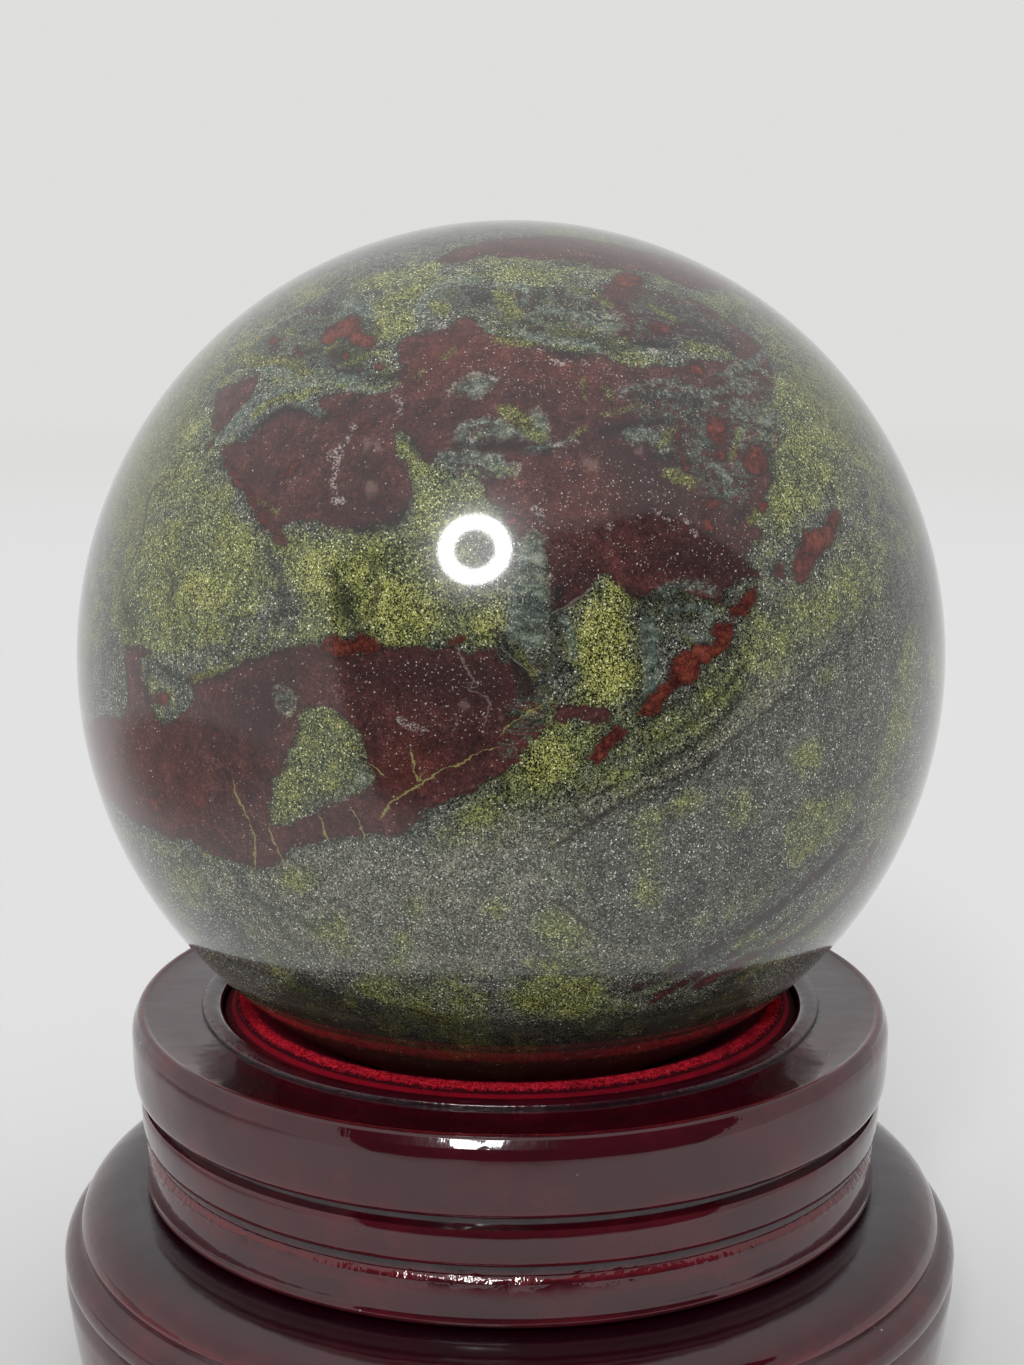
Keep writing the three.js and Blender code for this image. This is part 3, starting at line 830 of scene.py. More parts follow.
# Healed cracks: dark seams, yellow and pale threads, and how near each point is to one of them
THREAD_REACH = 0.7
dark_seams = [
    [(203, 441), (197, 447), (184, 456), (177, 471), (160, 484), (150, 499), (145, 529), (137, 553),
     (126, 578), (121, 597)],
    [(555, 847), (595, 820), (635, 794), (656, 787), (688, 772), (710, 759), (737, 736), (771, 708),
     (801, 683), (823, 657), (835, 653), (850, 636), (861, 621), (870, 610)],
    [(596, 796), (615, 785)], [(553, 901), (573, 911), (587, 924), (605, 933), (624, 939), (639, 939)],
    [(575, 805), (583, 815), (594, 826)], [(398, 1007), (419, 1012), (440, 1022)],
]
yellow_threads = [
    [(235, 783), (239, 796), (246, 811), (250, 822), (256, 839), (256, 865)],
    [(271, 830), (278, 847), (286, 865)], [(321, 818), (328, 839)], [(354, 811), (361, 826), (365, 837)],
    [(383, 815), (389, 805), (400, 797), (419, 785), (440, 772), (462, 764), (481, 753), (494, 749)],
    [(545, 702), (530, 712), (512, 722), (505, 730)], [(420, 783), (416, 770), (412, 754)],
    [(373, 766), (383, 774)],
]
pale_threads = [
    [(460, 652), (468, 668), (477, 682)], [(470, 690), (488, 698), (492, 706), (486, 722)],
    [(502, 649), (534, 674)],
    [(553, 614), (566, 606), (577, 600), (590, 590)],
]
for name, lines in {"seam": dark_seams, "yellow": yellow_threads, "pale": pale_threads}.items():
    apart = threads(lines)
    field(name, apart)
    field(name + "_near", np.clip(1 - np.abs(apart) / THREAD_REACH, 0, 1))


def mixed(tree, amount, first, second):
    """The first colour, gone over to the second by the amount."""
    first = first if isinstance(first, bpy.types.NodeSocket) else (*first, 1)
    second = second if isinstance(second, bpy.types.NodeSocket) else (*second, 1)
    return node(tree, "ShaderNodeMix", {0: amount, 6: first, 7: second}, data_type="RGBA")[2]


def layered(tree, lowest, *layers):
    """A colour with others laid over it in turn, each by its own amount."""
    for amount, upper in layers:
        lowest = mixed(tree, amount, lowest, upper)
    return lowest


def product(tree, value, *factors):
    for factor in factors:
        value = sums(tree, "MULTIPLY", value, factor)
    return value


def swung(tree, value, *swings):
    """The value with noises added that swing either side of a half, each times its gain."""
    for swing, gain in swings:
        value = added(tree, value, (sums(tree, "SUBTRACT", swing, 0.5), gain))
    return value


def noise(tree, place, per_mm, detail, roughness=0.5, swirl=0.0):
    sockets = {
        "Vector": place,
        "Scale": per_mm,
        "Detail": detail,
        "Roughness": roughness,
        "Distortion": swirl,
    }
    return node(tree, "ShaderNodeTexNoise", sockets)[0]


def colour_ramp(tree, value, *stops):
    made = node(tree, "ShaderNodeValToRGB", {0: value})
    elements = made[0].node.color_ramp.elements
    while len(elements) < len(stops):
        elements.new(1.0)
    for element, (position, colour) in zip(elements, stops):
        element.position = position
        element.color = (*colour, 1)
    return made[0]


def spots_mm(tree):
    """Places on the piece in millimetres."""
    place = node(tree, "ShaderNodeTexCoord")["Object"]
    return node(tree, "ShaderNodeVectorMath", {0: place, 3: 1 / MM}, operation="SCALE")[0]


def squeezed(tree, place, factors):
    """The place with its sides drawn together or apart, so that a noise in it is stretched."""
    return node(tree, "ShaderNodeVectorMath", {0: place, 1: factors}, operation="MULTIPLY")[0]


def effect(name, inputs, outputs):
    """An empty shader group that takes a place and these numbers, and its two end nodes."""
    tree = bpy.data.node_groups.new(name, "ShaderNodeTree")
    tree.interface.new_socket("Place", in_out="INPUT", socket_type="NodeSocketVector")
    for label in inputs:
        tree.interface.new_socket(label, in_out="INPUT", socket_type="NodeSocketFloat")
    for label in outputs:
        tree.interface.new_socket(label, in_out="OUTPUT", socket_type="NodeSocketFloat")
    return tree, node(tree, "NodeGroupInput"), tree.nodes.new("NodeGroupOutput").inputs


# Scattered specks: one in each chosen cell of a fine mesh of cells
specks, given, result = effect("specks", ("Per mm", "Share", "Size"), ("Amount", "Chance"))
cell = node(specks, "ShaderNodeTexVoronoi", {"Vector": given["Place"], "Scale": given["Per mm"]})
draw = node(specks, "ShaderNodeSeparateColor", {0: cell["Color"]})
reach = product(specks, given["Size"], added(specks, 0.3, (draw[1], 0.7)))
inner = product(specks, reach, 0.55)
dot = ramp(specks, cell["Distance"], inner, reach, 1.0, 0.0)
chosen = sums(specks, "LESS_THAN", draw[0], given["Share"])
specks.links.new(product(specks, dot, chosen), result["Amount"])
specks.links.new(draw[2], result["Chance"])


def speckled(tree, place, per_mm, share, size):
    """The specks' cover at each place, and a chance value for each speck."""
    sockets = {"Place": place, "Per mm": per_mm, "Share": share, "Size": size}
    return node(tree, "ShaderNodeGroup", sockets, node_tree=specks)


def surfaced(tree, sockets):
    """Ends a material's tree in a surface with these sockets."""
    surface = node(tree, "ShaderNodeBsdfPrincipled", sockets)
    node(tree, "ShaderNodeOutputMaterial", {0: surface[0]})


# The noises that the stone's colours share, from slow clouds to the finest grain, and those that run along
# the beds
jasper, stone = empty_material("polished_jasper")
place = spots_mm(stone)
bedded = squeezed(stone, place, (0.7, 0.7, 1.8))
slow = noise(stone, place, 0.12, 3)
middle = noise(stone, place, 0.5, 4, 0.6)
small = noise(stone, place, 1.9, 3, 0.65)
finest = noise(stone, place, 5.0, 2, 0.7)
swirls = noise(stone, bedded, 0.2, 5, 0.62, 2.2)
shreds = noise(stone, bedded, 0.55, 4, 0.62, 1.5)
streaks = noise(stone, bedded, 0.33, 5, 0.66, 1.4)


def measured(name):
    """The value of one of the ball's fields."""
    return node(stone, "ShaderNodeAttribute", attribute_name=name)["Fac"]


# How far, in mm, the markings' edges wander along the grain
broken = measured("broken")
wander = swung(stone, 0.0, (middle, 2.6), (small, 1.5), (finest, 0.4))
wander = added(stone, wander, (swung(stone, 0.0, (swirls, 9.0), (shreds, 8.0)), broken))


# Short forms for the stone's own tree
def step(value, *span):
    return ramp(stone, value, *span)


def part(amount, *strengths):
    return product(stone, amount, *strengths)


def joined(value, *swings):
    return swung(stone, value, *swings)


def edge(name, soft):
    """How far a field's marking covers the stone here, with its edge wandering along the grain."""
    return step(sums(stone, "ADD", wander, measured(name)), -soft, soft)


def thread(name, half_width):
    """A thin line whose width comes and goes."""
    width = step(middle, 0.35, 0.62, half_width * 0.4, half_width * 1.4)
    bent = sums(stone, "ABSOLUTE", joined(measured(name), (small, 0.7), (middle, 0.9)))
    line = step(sums(stone, "DIVIDE", bent, width), 0.5, 1.5, 1.0, 0.0)
    return part(line, step(measured(name + "_near"), 0.0, 0.35))


def brushing(name, soft, rough=0.6):
    """How far a brushed streak covers the stone here, uneven along its length."""
    depth = joined(measured(name), (middle, 1.4 * rough), (small, 1.6 * rough), (finest, 1.0 * rough))
    return step(depth, -soft, soft)


def lines_through(value, full, gone):
    """Thin lines along which a noise passes a half."""
    return step(sums(stone, "ABSOLUTE", sums(stone, "SUBTRACT", value, 0.5)), full, gone, 1.0, 0.0)


# Green and grey grains: a dark body with brighter grains in it, more of them in the green stretches
grain = speckled(stone, place, 9.2, 1.0, 0.95)
tone = joined(0.45, (grain["Chance"], 1.3), (finest, 0.8), (small, 1.0), (middle, 1.0))


def toned(low, centre, high):
    """A dark, a usual and a bright tone of one mineral, spread along the shared tone."""
    return colour_ramp(stone, tone, (0.12, low), (0.45, centre), (0.85, high))


green = edge("green", 1.1)
bright = edge("bright", 1.4)
silver = edge("silver", 1.4)
ashen = edge("ashen", 1.8)
# Dark stretches, with the painted shade at the ball's bottom, where there are also fewer bright grains
dark = edge("dark", 1.6)
calm = step(joined(measured("calm"), (middle, 0.8)), -0.1, 0.9)
green_body = mixed(
    stone,
    step(noise(stone, place, 0.3, 3, 0.6), 0.44, 0.58),
    toned((0.014, 0.019, 0.01), (0.078, 0.093, 0.045), (0.2, 0.225, 0.115)),
    toned((0.014, 0.016, 0.006), (0.098, 0.104, 0.032), (0.29, 0.3, 0.1)),
)
bright_body = toned((0.014, 0.015, 0.006), (0.112, 0.116, 0.03), (0.5, 0.5, 0.14))
grey_body = toned((0.012, 0.013, 0.011), (0.054, 0.056, 0.044), (0.17, 0.175, 0.14))
ashen_body = toned((0.022, 0.022, 0.016), (0.1, 0.097, 0.072), (0.27, 0.262, 0.195))
calm_body = toned((0.05, 0.055, 0.022), (0.105, 0.11, 0.045), (0.17, 0.178, 0.075))
greenness = sums(stone, "MAXIMUM", green, bright)
calmed = added(stone, 1.0, (calm, -0.65))

grain_share = joined(0.4, (middle, 1.1), (small, 0.55))
grain_share = added(stone, grain_share, (greenness, 0.1), (bright, 0.12), (ashen, 0.16), (dark, -0.45))
shiny = speckled(stone, place, 7.5, grain_share, 0.85)
green_grain = colour_ramp(
    stone,
    shiny["Chance"],
    (0.0, (0.03, 0.036, 0.012)),
    (0.3, (0.14, 0.155, 0.045)),
    (0.6, (0.4, 0.42, 0.11)),
    (0.82, (0.7, 0.72, 0.28)),
    (1.0, (1.0, 1.0, 0.66)),
)
grey_grain = colour_ramp(
    stone,
    shiny["Chance"],
    (0.0, (0.02, 0.022, 0.018)),
    (0.35, (0.12, 0.125, 0.1)),
    (0.7, (0.36, 0.365, 0.31)),
    (1.0, (0.95, 0.95, 0.85)),
)
grained = part(sums(stone, "POWER", shiny["Amount"], 0.7), part(calmed, 0.85))
glitter = part(shiny["Amount"], shiny["Chance"])
# Painted glints: near-white specks that stand for light sparkling off crystal faces, fainter in the calm
# stretches
painted_glint = speckled(stone, place, 5.2, added(stone, 0.05, (dark, -0.05), (bright, 0.07)), 0.55)
crack = lines_through(noise(stone, place, 0.42, 4, 0.6), 0.0, 0.016)
matrix = layered(
    stone,
    grey_body,
    (step(joined(slow, (middle, 0.6)), 0.42, 0.62), green_body),
    (part(ashen, 0.85), ashen_body),
    (part(silver, 0.9), grey_body),
    (green, green_body),
    (part(bright, 0.85), bright_body),
    (part(calm, green, 0.7), calm_body),
    (part(dark, 0.6), (0.012, 0.013, 0.01)),
    (grained, mixed(stone, greenness, grey_grain, green_grain)),
    (part(painted_glint["Amount"], calmed), mixed(stone, greenness, (1.0, 1.0, 0.9), (1.0, 1.0, 0.6))),
    (part(crack, step(slow, 0.42, 0.58), 0.65), (0.014, 0.015, 0.01)),
)

# Grey-teal wisps, pale and sparkling along their edges, grown through with green grains
teal_body = colour_ramp(
    stone,
    joined(0.5, (streaks, 2.2), (small, 1.3)),
    (0.1, (0.013, 0.019, 0.019)),
    (0.4, (0.046, 0.065, 0.056)),
    (0.65, (0.12, 0.15, 0.122)),
    (0.9, (0.28, 0.32, 0.25)),
)
teal_colour = layered(
    stone,
    teal_body,
    (part(glitter, 0.6), (0.5, 0.54, 0.42)),
    (step(joined(middle, (small, 0.9)), 0.52, 0.64, 0.1, 0.9), matrix),
)
teal_depth = added(stone, measured("teal"), (wander, 0.9))
teal_cover = part(step(teal_depth, -0.6, 0.7), step(joined(streaks, (small, 0.8)), 0.3, 0.55, 0.35, 1.0))
fringe = step(sums(stone, "ABSOLUTE", joined(teal_depth, (streaks, 2.0))), 0.0, 0.25, 1.0, 0.0)
fringe = part(fringe, step(joined(middle, (finest, 1.6)), 0.52, 0.75))

# Where the beds break up, every mineral is drawn out into thin flowing bands
marble = joined(noise(stone, bedded, 0.2, 4, 0.58, 1.6), (small, 0.3), (middle, 0.25))
marbled = colour_ramp(
    stone,
    marble,
    (0.3, (0.05, 0.024, 0.02)),
    (0.38, (0.03, 0.018, 0.017)),
    (0.43, (0.012, 0.015, 0.015)),
    (0.47, (0.035, 0.045, 0.041)),
    (0.5, (0.09, 0.105, 0.09)),
    (0.53, (0.03, 0.034, 0.028)),
    (0.57, (0.08, 0.085, 0.03)),
    (0.62, (0.03, 0.03, 0.02)),
    (0.68, (0.015, 0.014, 0.014)),
    (0.75, (0.06, 0.026, 0.021)),
)
marbled = mixed(stone, part(glitter, 0.6), marbled, (0.55, 0.55, 0.36))
strands = lines_through(marble, 0.015, 0.05)

# Maroon beds, mottled with finer red and pale grains
maroon_tone = joined(0.5, (middle, 1.1), (small, 0.9), (finest, 0.7), (grain["Chance"], 0.35))


def mottled(*colours):
    """Four tones of the beds, spread along their shared tone."""
    return colour_ramp(stone, maroon_tone, *zip((0.1, 0.4, 0.6, 0.9), colours))


maroon_body = mottled(
    (0.025, 0.011, 0.012), (0.055, 0.022, 0.021), (0.08, 0.029, 0.027), (0.16, 0.062, 0.055)
)
warm_body = mottled(
    (0.038, 0.012, 0.011), (0.073, 0.022, 0.019), (0.098, 0.029, 0.024), (0.17, 0.052, 0.042)
)
dulled = part(edge("dull", 1.8), step(joined(middle, (small, 0.8)), 0.3, 0.6, 0.2, 0.65))
clustered = step(joined(slow, (middle, 1.2)), 0.45, 0.7)
strewn = added(stone, part(clustered, 0.6), (edge("dusty", 1.5), 1.1))
red_grain = speckled(stone, place, 2.6, 0.14, 0.7)
dusting = speckled(stone, place, 7.5, added(stone, 0.03, (strewn, 0.16)), 0.7)
pit = speckled(stone, place, 4.2, 0.16, 0.6)
pale_speck = speckled(stone, place, 3.1, added(stone, 0.002, (strewn, 0.085)), 0.36)
pink = step(joined(measured("pink"), (middle, 1.0), (small, 0.8)), -0.2, 0.3)
squiggle = lines_through(noise(stone, place, 0.7, 2, 0.5, 1.2), 0.003, 0.012)
squiggle = part(squiggle, step(noise(stone, place, 0.35, 2), 0.57, 0.64))
maroon_colour = layered(
    stone,
    maroon_body,
    (edge("warm", 1.8), warm_body),
    (dulled, (0.024, 0.015, 0.018)),
    (part(red_grain["Amount"], 0.4), (0.16, 0.04, 0.03)),
    (part(dusting["Amount"], sums(stone, "POWER", dusting["Chance"], 3.0)), (0.75, 0.66, 0.6)),
    (part(pit["Amount"], 0.35), (0.012, 0.008, 0.008)),
    (part(pale_speck["Amount"], step(pale_speck["Chance"], 0.0, 1.0, 0.2, 1.0)), (0.62, 0.6, 0.55)),
    (part(pink, 0.6), (0.2, 0.125, 0.11)),
    (part(squiggle, 0.4), (0.28, 0.17, 0.15)),
)
maroon_depth = sums(stone, "ADD", wander, measured("maroon"))
rim_shade = step(sums(stone, "ABSOLUTE", maroon_depth), 0.0, 0.5, 0.6, 0.0)
rim_shade = part(rim_shade, step(middle, 0.4, 0.6))
broken_up = step(joined(broken, (streaks, 1.6)), 0.15, 0.75)
banded = sums(stone, "MAXIMUM", step(maroon_depth, -0.3, 0.3, 0.85, 0.0), part(strands, 0.75))

# Brushed streaks, and orange-red veins that are brightest in their middle
wisp_colour = colour_ramp(
    stone,
    joined(0.5, (small, 1.6), (finest, 1.2)),
    (0.15, (0.016, 0.026, 0.024)),
    (0.45, (0.06, 0.088, 0.076)),
    (0.7, (0.16, 0.2, 0.165)),
    (0.9, (0.38, 0.42, 0.35)),
)
wisp_colour = mixed(stone, part(glitter, 0.7), wisp_colour, (0.7, 0.74, 0.6))
lime_body = toned((0.016, 0.018, 0.006), (0.085, 0.088, 0.022), (0.21, 0.215, 0.055))
lime_colour = mixed(stone, part(shiny["Amount"], 0.75), lime_body, green_grain)
fleck_colour = mixed(stone, step(finest, 0.4, 0.6), (0.13, 0.1, 0.095), (0.5, 0.45, 0.42))
flecked = part(brushing("fleck", 0.15, 0.5), step(joined(small, (finest, 1.4)), 0.42, 0.6))
red_depth = joined(measured("red"), (middle, 1.1), (small, 0.8), (finest, 0.4))
red_outline = part(step(red_depth, -0.55, -0.1), step(middle, 0.35, 0.6, 0.2, 0.75))
red_colour = mixed(
    stone,
    step(joined(red_depth, (small, 1.6), (middle, 0.8)), 0.15, 0.9),
    colour_ramp(
        stone,
        maroon_tone,
        (0.15, (0.022, 0.006, 0.005)), (0.45, (0.065, 0.013, 0.01)), (0.85, (0.16, 0.036, 0.024)),
    ),
    colour_ramp(
        stone,
        maroon_tone,
        (0.15, (0.045, 0.01, 0.007)), (0.5, (0.12, 0.023, 0.014)), (0.85, (0.24, 0.06, 0.036)),
    ),
)

# All of the stone, from the grains between the beds up to the flecks
coloured = layered(
    stone,
    matrix,
    (step(maroon_depth, -0.09, 0.09), maroon_colour),
    (rim_shade, (0.014, 0.011, 0.009)),
    (part(banded, broken_up), marbled),
    (teal_cover, teal_colour),
    (part(fringe, 0.5), (0.36, 0.38, 0.31)),
    (part(brushing("shade", 0.5), 0.7), (0.011, 0.012, 0.012)),
    (part(brushing("wisp", 0.35, 0.8), 0.62), wisp_colour),
    (part(brushing("lime", 0.35), 0.8), lime_colour),
    (red_outline, (0.016, 0.009, 0.008)),
    (step(red_depth, -0.14, 0.14), red_colour),
    (part(thread("seam", 0.18), 0.7), (0.022, 0.011, 0.011)),
    (part(thread("yellow", 0.075), 0.75), (0.33, 0.31, 0.11)),
    (part(thread("pale", 0.07), 0.4), (0.28, 0.25, 0.21)),
    (part(flecked, 0.7), fleck_colour),
)
bump = node(stone, "ShaderNodeBump", {"Strength": 0.06, "Distance": 0.02 * MM, "Height": finest})
surfaced(stone, {
    "Base Color": coloured,
    "Roughness": 0.045,
    "IOR": 1.47,
    "Coat Weight": 0.5,
    "Coat Roughness": 0.2,
    "Coat IOR": 1.5,
    "Normal": bump[0],
})
ball_data.materials.append(jasper)
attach(ball, "root")
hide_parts("jasper_sphere")


# The ring that cradles the ball is padding under crimson velvet, glued into the recess of the stand. The ball
# presses its pile flat. Along the crest, where the pile stands up, and along the cloth's outer fold, the
# colour holds a painted highlight, and down its outer side into the recess it holds painted shade.
VELVET_PROFILE = [
    (30.95, 32.9), (30.95, 42.0), (30.7, 42.25), (30.3, 42.4), (30.0, 42.6), (29.8, 42.85), (29.5, 43.05),
    (29.2, 43.2), (28.7, 43.3), (28.2, 43.3), (27.7, 43.15), (27.2, 42.85), (26.4, 42.35), (25.4, 41.8),
    (23.5, 40.5), (20.5, 39.0), (17.3, 37.6), (17.3, 32.9),
]
TURNED_SEGMENTS = 256
SHARP_ANGLE = radians(38)


def turned(name, profile):
    """A turned piece: the profile of radius and height in mm, swept round the upright axis."""
    radius, height = (np.array(profile) * MM).T
    angles = np.arange(TURNED_SEGMENTS) * 2 * pi / TURNED_SEGMENTS
    sides = (
        np.outer(np.sin(angles), radius),
        -np.outer(np.cos(angles), radius),
        np.broadcast_to(height, (TURNED_SEGMENTS, len(profile))),
    )
    count = len(profile)
    faces = []
    for i in range(TURNED_SEGMENTS):
        here, there = i * count, (i + 1) % TURNED_SEGMENTS * count
        for j in range(count):
            k = (j + 1) % count
            faces.append((here + j, there + j, there + k, here + k))
    data = bpy.data.meshes.new(name)
    data.from_pydata(np.stack(sides, -1).reshape(-1, 3), [], faces)
    data.shade_smooth()
    data.set_sharp_from_angle(angle=SHARP_ANGLE)
    return linked(name, data)


def radius_and_height(tree, place):
    """A place's distance from the upright axis, and its height."""
    sides = node(tree, "ShaderNodeSeparateXYZ", {0: place})
    flat = node(tree, "ShaderNodeCombineXYZ", {0: sides[0], 1: sides[1]})[0]
    return node(tree, "ShaderNodeVectorMath", {0: flat}, operation="LENGTH")[1], sides[2]


# Radii in mm over which the painted highlight on the standing pile rises and falls again, the pressed cloth's
# inside goes over to the painted shade of its outside, and the painted highlight along the cloth's outer fold
# rises and falls
HIGHLIGHT_RISE, HIGHLIGHT_FALL = (27.75, 28.3), (29.1, 29.5)
OUTSIDE_SHADE_RISE = (28.0, 29.0)
FOLD_HIGHLIGHT_RISE, FOLD_HIGHLIGHT_FALL = (29.65, 29.85), (30.05, 30.25)

velvet = turned("velvet_ring_cloth", VELVET_PROFILE)
velvet_material, cloth = empty_material("crimson_velvet")
cloth_place = spots_mm(cloth)
from_axis, _ = radius_and_height(cloth, cloth_place)
nap = noise(cloth, cloth_place, 1.6, 4, 0.7)
tufts = noise(cloth, cloth_place, 6.0, 2, 0.6)
worn = swung(cloth, from_axis, (nap, 1.6))
lit = swung(cloth, nap, (tufts, 1.6))
uneven = ramp(cloth, noise(cloth, cloth_place, 0.13, 3, 0.6), 0.34, 0.54, 0.6, 1.0)
# Painted highlights: along the crest, where the pile stands up, and along the cloth's outer fold
standing_highlight = product(cloth, band(cloth, worn, HIGHLIGHT_RISE, HIGHLIGHT_FALL), uneven)
fold_highlight = product(cloth, band(cloth, from_axis, FOLD_HIGHLIGHT_RISE, FOLD_HIGHLIGHT_FALL), uneven)
standing_highlight_colour = colour_ramp(
    cloth, lit, (0.34, (0.32, 0.003, 0.01)), (0.46, (0.95, 0.01, 0.035)), (0.64, (1.0, 0.06, 0.11))
)
# Painted shade on the cloth's outer side, where it goes down into the recess
outside_shade_colour = colour_ramp(cloth, lit, (0.3, (0.01, 0.0004, 0.002)), (0.7, (0.07, 0.0015, 0.008)))
inside_colour = colour_ramp(cloth, lit, (0.3, (0.1, 0.002, 0.01)), (0.7, (0.4, 0.01, 0.035)))
cloth_colour = layered(
    cloth,
    inside_colour,
    (ramp(cloth, worn, *OUTSIDE_SHADE_RISE), outside_shade_colour),
    (standing_highlight, standing_highlight_colour),
    (fold_highlight, (0.26, 0.003, 0.014)),
)
cloth_bump = node(cloth, "ShaderNodeBump", {"Strength": 1.0, "Distance": 0.2 * MM, "Height": lit})
surfaced(cloth, {
    "Base Color": cloth_colour,
    "Roughness": 0.9,
    "Specular IOR Level": 0.1,
    "Sheen Weight": 0.05,
    "Sheen Roughness": 0.4,
    "Sheen Tint": (0.9, 0.1, 0.15, 1),
    "Normal": cloth_bump[0],
})
velvet.data.materials.append(velvet_material)
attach(velvet, "root")
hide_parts("velvet_ring")

# The standing pile: short, leaning fibres, each one slim triangle with its root sunk a little into the cloth
PILE_FIBRES = 60000
PILE_LENGTH, PILE_WIDTH, PILE_SUNK = 0.34, 0.075, 0.03
PILE_CREST_RADIUS, PILE_HALF_WIDTH = 28.6, 0.75
PILE_LEAN, PILE_SPLAY = 0.45, 0.5
UP = np.array((0, 0, 1))

crest_profile = np.array(VELVET_PROFILE[1:15])[::-1]
from_crest = np.clip(chance.normal(0, 0.5, PILE_FIBRES), -1, 1) * PILE_HALF_WIDTH
root_radius = PILE_CREST_RADIUS + from_crest
root_height = np.interp(root_radius, crest_profile[:, 0], crest_profile[:, 1])
round_turn = chance.uniform(0, 2 * pi, PILE_FIBRES)
straight_out = np.column_stack((np.sin(round_turn), -np.cos(round_turn), np.zeros(PILE_FIBRES)))
roots = straight_out * root_radius[:, None] + UP * (root_height - PILE_SUNK)[:, None]
lean = chance.normal(0, PILE_LEAN, (PILE_FIBRES, 3)) + UP
lean += straight_out * ((root_radius - PILE_CREST_RADIUS) * PILE_SPLAY)[:, None]
lean /= np.linalg.norm(lean, axis=1)[:, None]
tips = roots + lean * (PILE_LENGTH * chance.uniform(0.5, 1, PILE_FIBRES))[:, None]
across = np.cross(lean, chance.normal(size=(PILE_FIBRES, 3)))
across *= PILE_WIDTH / 2 / np.linalg.norm(across, axis=1)[:, None]
pile_points = np.stack((roots - across, roots + across, tips), 1).reshape(-1, 3) * MM
pile_data = bpy.data.meshes.new("velvet_pile")
pile_data.from_pydata(pile_points, [], np.arange(3 * PILE_FIBRES).reshape(-1, 3).tolist())
pile_data.materials.append(velvet_material)
velvet_pile = linked("velvet_pile", pile_data)
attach(velvet_pile, "root")


# The upper tier is a turned wooden drum under thick dark-red gloss lacquer. It has a rounded upper edge, a
# bead round its recess, two scored grooves and a side that narrows towards its foot.
DRUM_RADIUS, DRUM_BOTTOM = 40.7, 23.7
RECESS_RADIUS, RECESS_FLOOR = 31.1, 32.6


def arc(centre_radius, centre_height, radius, from_deg, to_deg, steps):
    """Points of an arc between two angles, measured from the outward direction."""
    turns = [radians(from_deg + (to_deg - from_deg) * i / steps) for i in range(steps + 1)]
    return [(centre_radius + radius * cos(t), centre_height + radius * sin(t)) for t in turns]


drum_profile = [
    # The foot and the side over it
    (0.5, DRUM_BOTTOM), (38.9, DRUM_BOTTOM), (39.2, 23.85), (39.45, 24.05), (39.6, 24.3), (39.62, 24.5),
    (39.57, 24.68), (39.5, 24.82), (39.46, 25.0), (39.45, 25.3), (39.45, 28.3), (39.43, 28.36),
    (39.4, 28.41),
    # The lower groove, over a chamfer that catches the ring of light
    (39.08, 28.95), (39.05, 29.0), (38.95, 29.06), (38.95, 30.05), (39.5, 30.1), (39.65, 30.2),
    (39.76, 30.45), (39.82, 30.8), (39.9, 31.6), (39.97, 32.8), (39.96, 33.2), (39.89, 33.5),
    (39.79, 33.8),
    # The upper groove
    (39.1, 33.8), (39.1, 35.1), (40.0, 35.12), (40.25, 35.2), (40.42, 35.45), (40.53, 35.9),
    (40.64, 37.0), (DRUM_RADIUS, 38.5), (DRUM_RADIUS, 40.4),
    # The shoulder turns over in three steps to a crisp edge
    *arc(37.6, 40.74, 3.1, 3, 21, 6), (40.47, 41.93), (40.455, 41.96), (40.1, 42.66), (40.085, 42.69),
    (39.96, 42.84), (39.78, 42.96), (39.6, 43.01),
    # The top face, and the bead round the recess
    (39.42, 43.0), (39.25, 42.87), (39.0, 42.8), (36.5, 42.78), (33.3, 42.74), (33.22, 43.04),
    (33.17, 43.14), (32.75, 43.33), (32.4, 43.38), (31.9, 43.34), (31.5, 43.18), (31.2, 42.9),
    (RECESS_RADIUS, 42.5), (RECESS_RADIUS, RECESS_FLOOR), (0.5, RECESS_FLOOR),
]
drum = turned("lacquered_drum", drum_profile)

# A band that follows one turned line, with a patchy width: worn edges are thin and red, and corners get dark
# painted shade
turned_line, given, result = effect("turned_line", ("Radius", "Height", "Reach"), ("Amount",))
line_radius, line_height = radius_and_height(turned_line, given["Place"])
sideways = sums(turned_line, "SUBTRACT", line_radius, given["Radius"])
upwards = sums(turned_line, "SUBTRACT", line_height, given["Height"])
aside = node(turned_line, "ShaderNodeCombineXYZ", {0: sideways, 1: upwards})[0]
line_apart = node(turned_line, "ShaderNodeVectorMath", {0: aside}, operation="LENGTH")[1]
patchy = ramp(turned_line, noise(turned_line, given["Place"], 0.35, 3, 0.6), 0.3, 0.65, 0.35, 1.2)
patchy_reach = product(turned_line, given["Reach"], patchy)
turned_line.links.new(ramp(turned_line, line_apart, 0.0, patchy_reach, 1.0, 0.0), result["Amount"])

lacquer_material, lacquer = empty_material("red_lacquer")
lacquer_place = spots_mm(lacquer)
# Radius, height, reach and strength of each line
WORN_EDGES = [
    (39.5, 43.0, 0.35, 0.75), (40.55, 35.7, 0.7, 0.2), (39.9, 33.8, 1.0, 0.12), (39.75, 30.5, 0.5, 0.2),
    (39.25, 28.75, 0.7, 0.5), (39.5, 27.6, 0.9, 0.15), (39.6, 24.5, 0.5, 0.2), (46.6, 20.1, 0.8, 0.35),
]
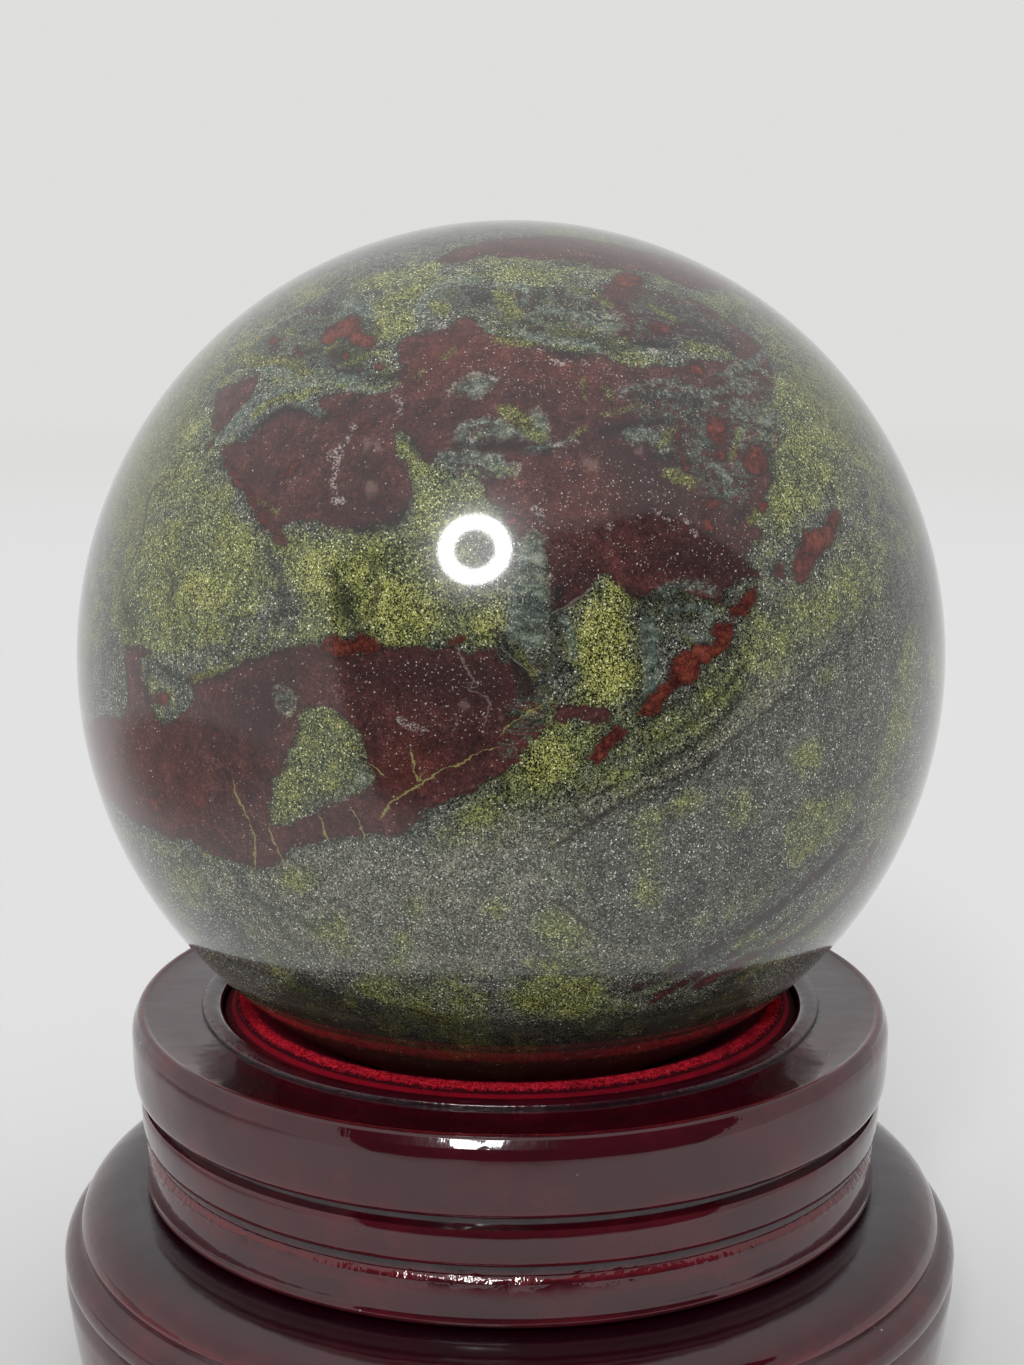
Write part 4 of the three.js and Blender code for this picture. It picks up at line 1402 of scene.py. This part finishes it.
# Painted shade: in the two grooves, at the bead's foot, the recess edge, under the drum's foot, below the
# base's
# ridge, and faintly on the top face under the ball
SHADED_CORNERS = [
    (39.3, 34.6, 1.0, 0.9), (39.1, 29.7, 0.95, 0.9), (33.3, 42.78, 0.6, 0.9), (40.0, 23.2, 1.6, 0.9),
    (46.4, 19.3, 0.6, 0.6), (31.2, 42.3, 1.0, 0.8), (36.5, 42.7, 3.0, 0.35),
]
SOFT_LINES = [(32.6, 43.2, 2.2, 0.8)]
RUN_LINES = [(39.25, 28.7, 1.2, 1.3), (40.28, 42.3, 1.2, 0.2), (33.15, 43.05, 0.6, 1.4)]
# Round the drum's foot, the base's lacquer is darker with painted shade and duller: out to these radii and up
# to these heights
FOOT_SHADE_RADII, FOOT_SHADE_HEIGHTS, FOOT_SHADE_STRENGTH = (42.5, 46.5), (23.5, 23.65), 0.85


def along_lines(lines):
    """The strongest of several turned lines at each place."""
    strongest = 0.0
    for radius, height, reach, strength in lines:
        sockets = {"Place": lacquer_place, "Radius": radius, "Height": height, "Reach": reach}
        line = node(lacquer, "ShaderNodeGroup", sockets, node_tree=turned_line)
        strongest = sums(lacquer, "MAXIMUM", strongest, product(lacquer, line["Amount"], strength))
    return strongest


lacquer_radius, lacquer_height = radius_and_height(lacquer, lacquer_place)
# Painted shade on the base round the drum's foot
foot_shade = product(
    lacquer,
    ramp(lacquer, lacquer_radius, *FOOT_SHADE_RADII, FOOT_SHADE_STRENGTH, 0.0),
    ramp(lacquer, lacquer_height, *FOOT_SHADE_HEIGHTS, 1.0, 0.0),
)
# Painted shade in the corners and grooves, which are also made duller
corners = along_lines(SHADED_CORNERS)
dust = speckled(lacquer, lacquer_place, 0.5, 0.07, 0.09)
lacquer_body = colour_ramp(
    lacquer,
    noise(lacquer, lacquer_place, 0.12, 4, 0.6),
    (0.3, (0.03, 0.0008, 0.004)), (0.52, (0.045, 0.0015, 0.0065)), (0.72, (0.078, 0.004, 0.01)),
)
lacquer_colour = layered(
    lacquer,
    lacquer_body,
    (along_lines(WORN_EDGES), (0.17, 0.009, 0.012)),
    (corners, (0.004, 0.0015, 0.004)),
    (product(lacquer, dust["Amount"], 0.7), (0.5, 0.48, 0.5)),
    (foot_shade, (0.01, 0.0009, 0.0035)),
)
soft_places = sums(lacquer, "MAXIMUM", along_lines(SOFT_LINES), product(lacquer, foot_shade, 0.6))
soft_places = sums(lacquer, "MAXIMUM", corners, soft_places)
ripple = product(lacquer, noise(lacquer, lacquer_place, 0.22, 2), 0.8)
runs = noise(lacquer, squeezed(lacquer, lacquer_place, (1, 1, 0.12)), 1.5, 2)
ripple = added(lacquer, ripple, (runs, along_lines(RUN_LINES)))
ripple_bump = node(lacquer, "ShaderNodeBump", {"Strength": 1.0, "Distance": 0.1 * MM, "Height": ripple})
surfaced(lacquer, {
    "Base Color": lacquer_colour,
    "Roughness": added(lacquer, 0.035, (soft_places, 0.3)),
    "IOR": 1.64,
    "Normal": ripple_bump[0],
})
drum.data.materials.append(lacquer_material)
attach(drum, "root")
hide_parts("upper_stand")


# The lower tier is a wider turned base under the same lacquer. Its domed top ends in a sharp ridge line over
# a bead, and its side narrows downwards to a plain flat underside.
BASE_TOP = 23.4
DOME_INNER, DOME_WIDTH = 40.5, 6.05
DOME_FOOT, DOME_HEIGHT = 20.15, 3.25
DOME_TURNS = [radians(turn) for turn in (80, 68, 56, 44, 32, 20, 10, 0)]

base_profile = [
    (0.5, 0.0), (45.7, 0.0), (46.25, 0.2), (46.5, 0.8), (46.8, 2.4), (47.1, 4.3), (47.6, 7.8),
    (48.05, 10.75), (48.36, 13.6), (48.44, 14.8), *arc(46.3, 16.9, 2.2, -35, 78, 14),
    (46.62, 19.2), (46.58, 19.7), (46.66, 20.0), (46.6, 20.15),
]
base_profile += [(DOME_INNER + DOME_WIDTH * sin(t), DOME_FOOT + DOME_HEIGHT * cos(t)) for t in DOME_TURNS]
base_profile += [(0.5, BASE_TOP)]
base = turned("lacquered_base", base_profile)
base.data.materials.append(lacquer_material)
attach(base, "root")
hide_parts("lower_stand")
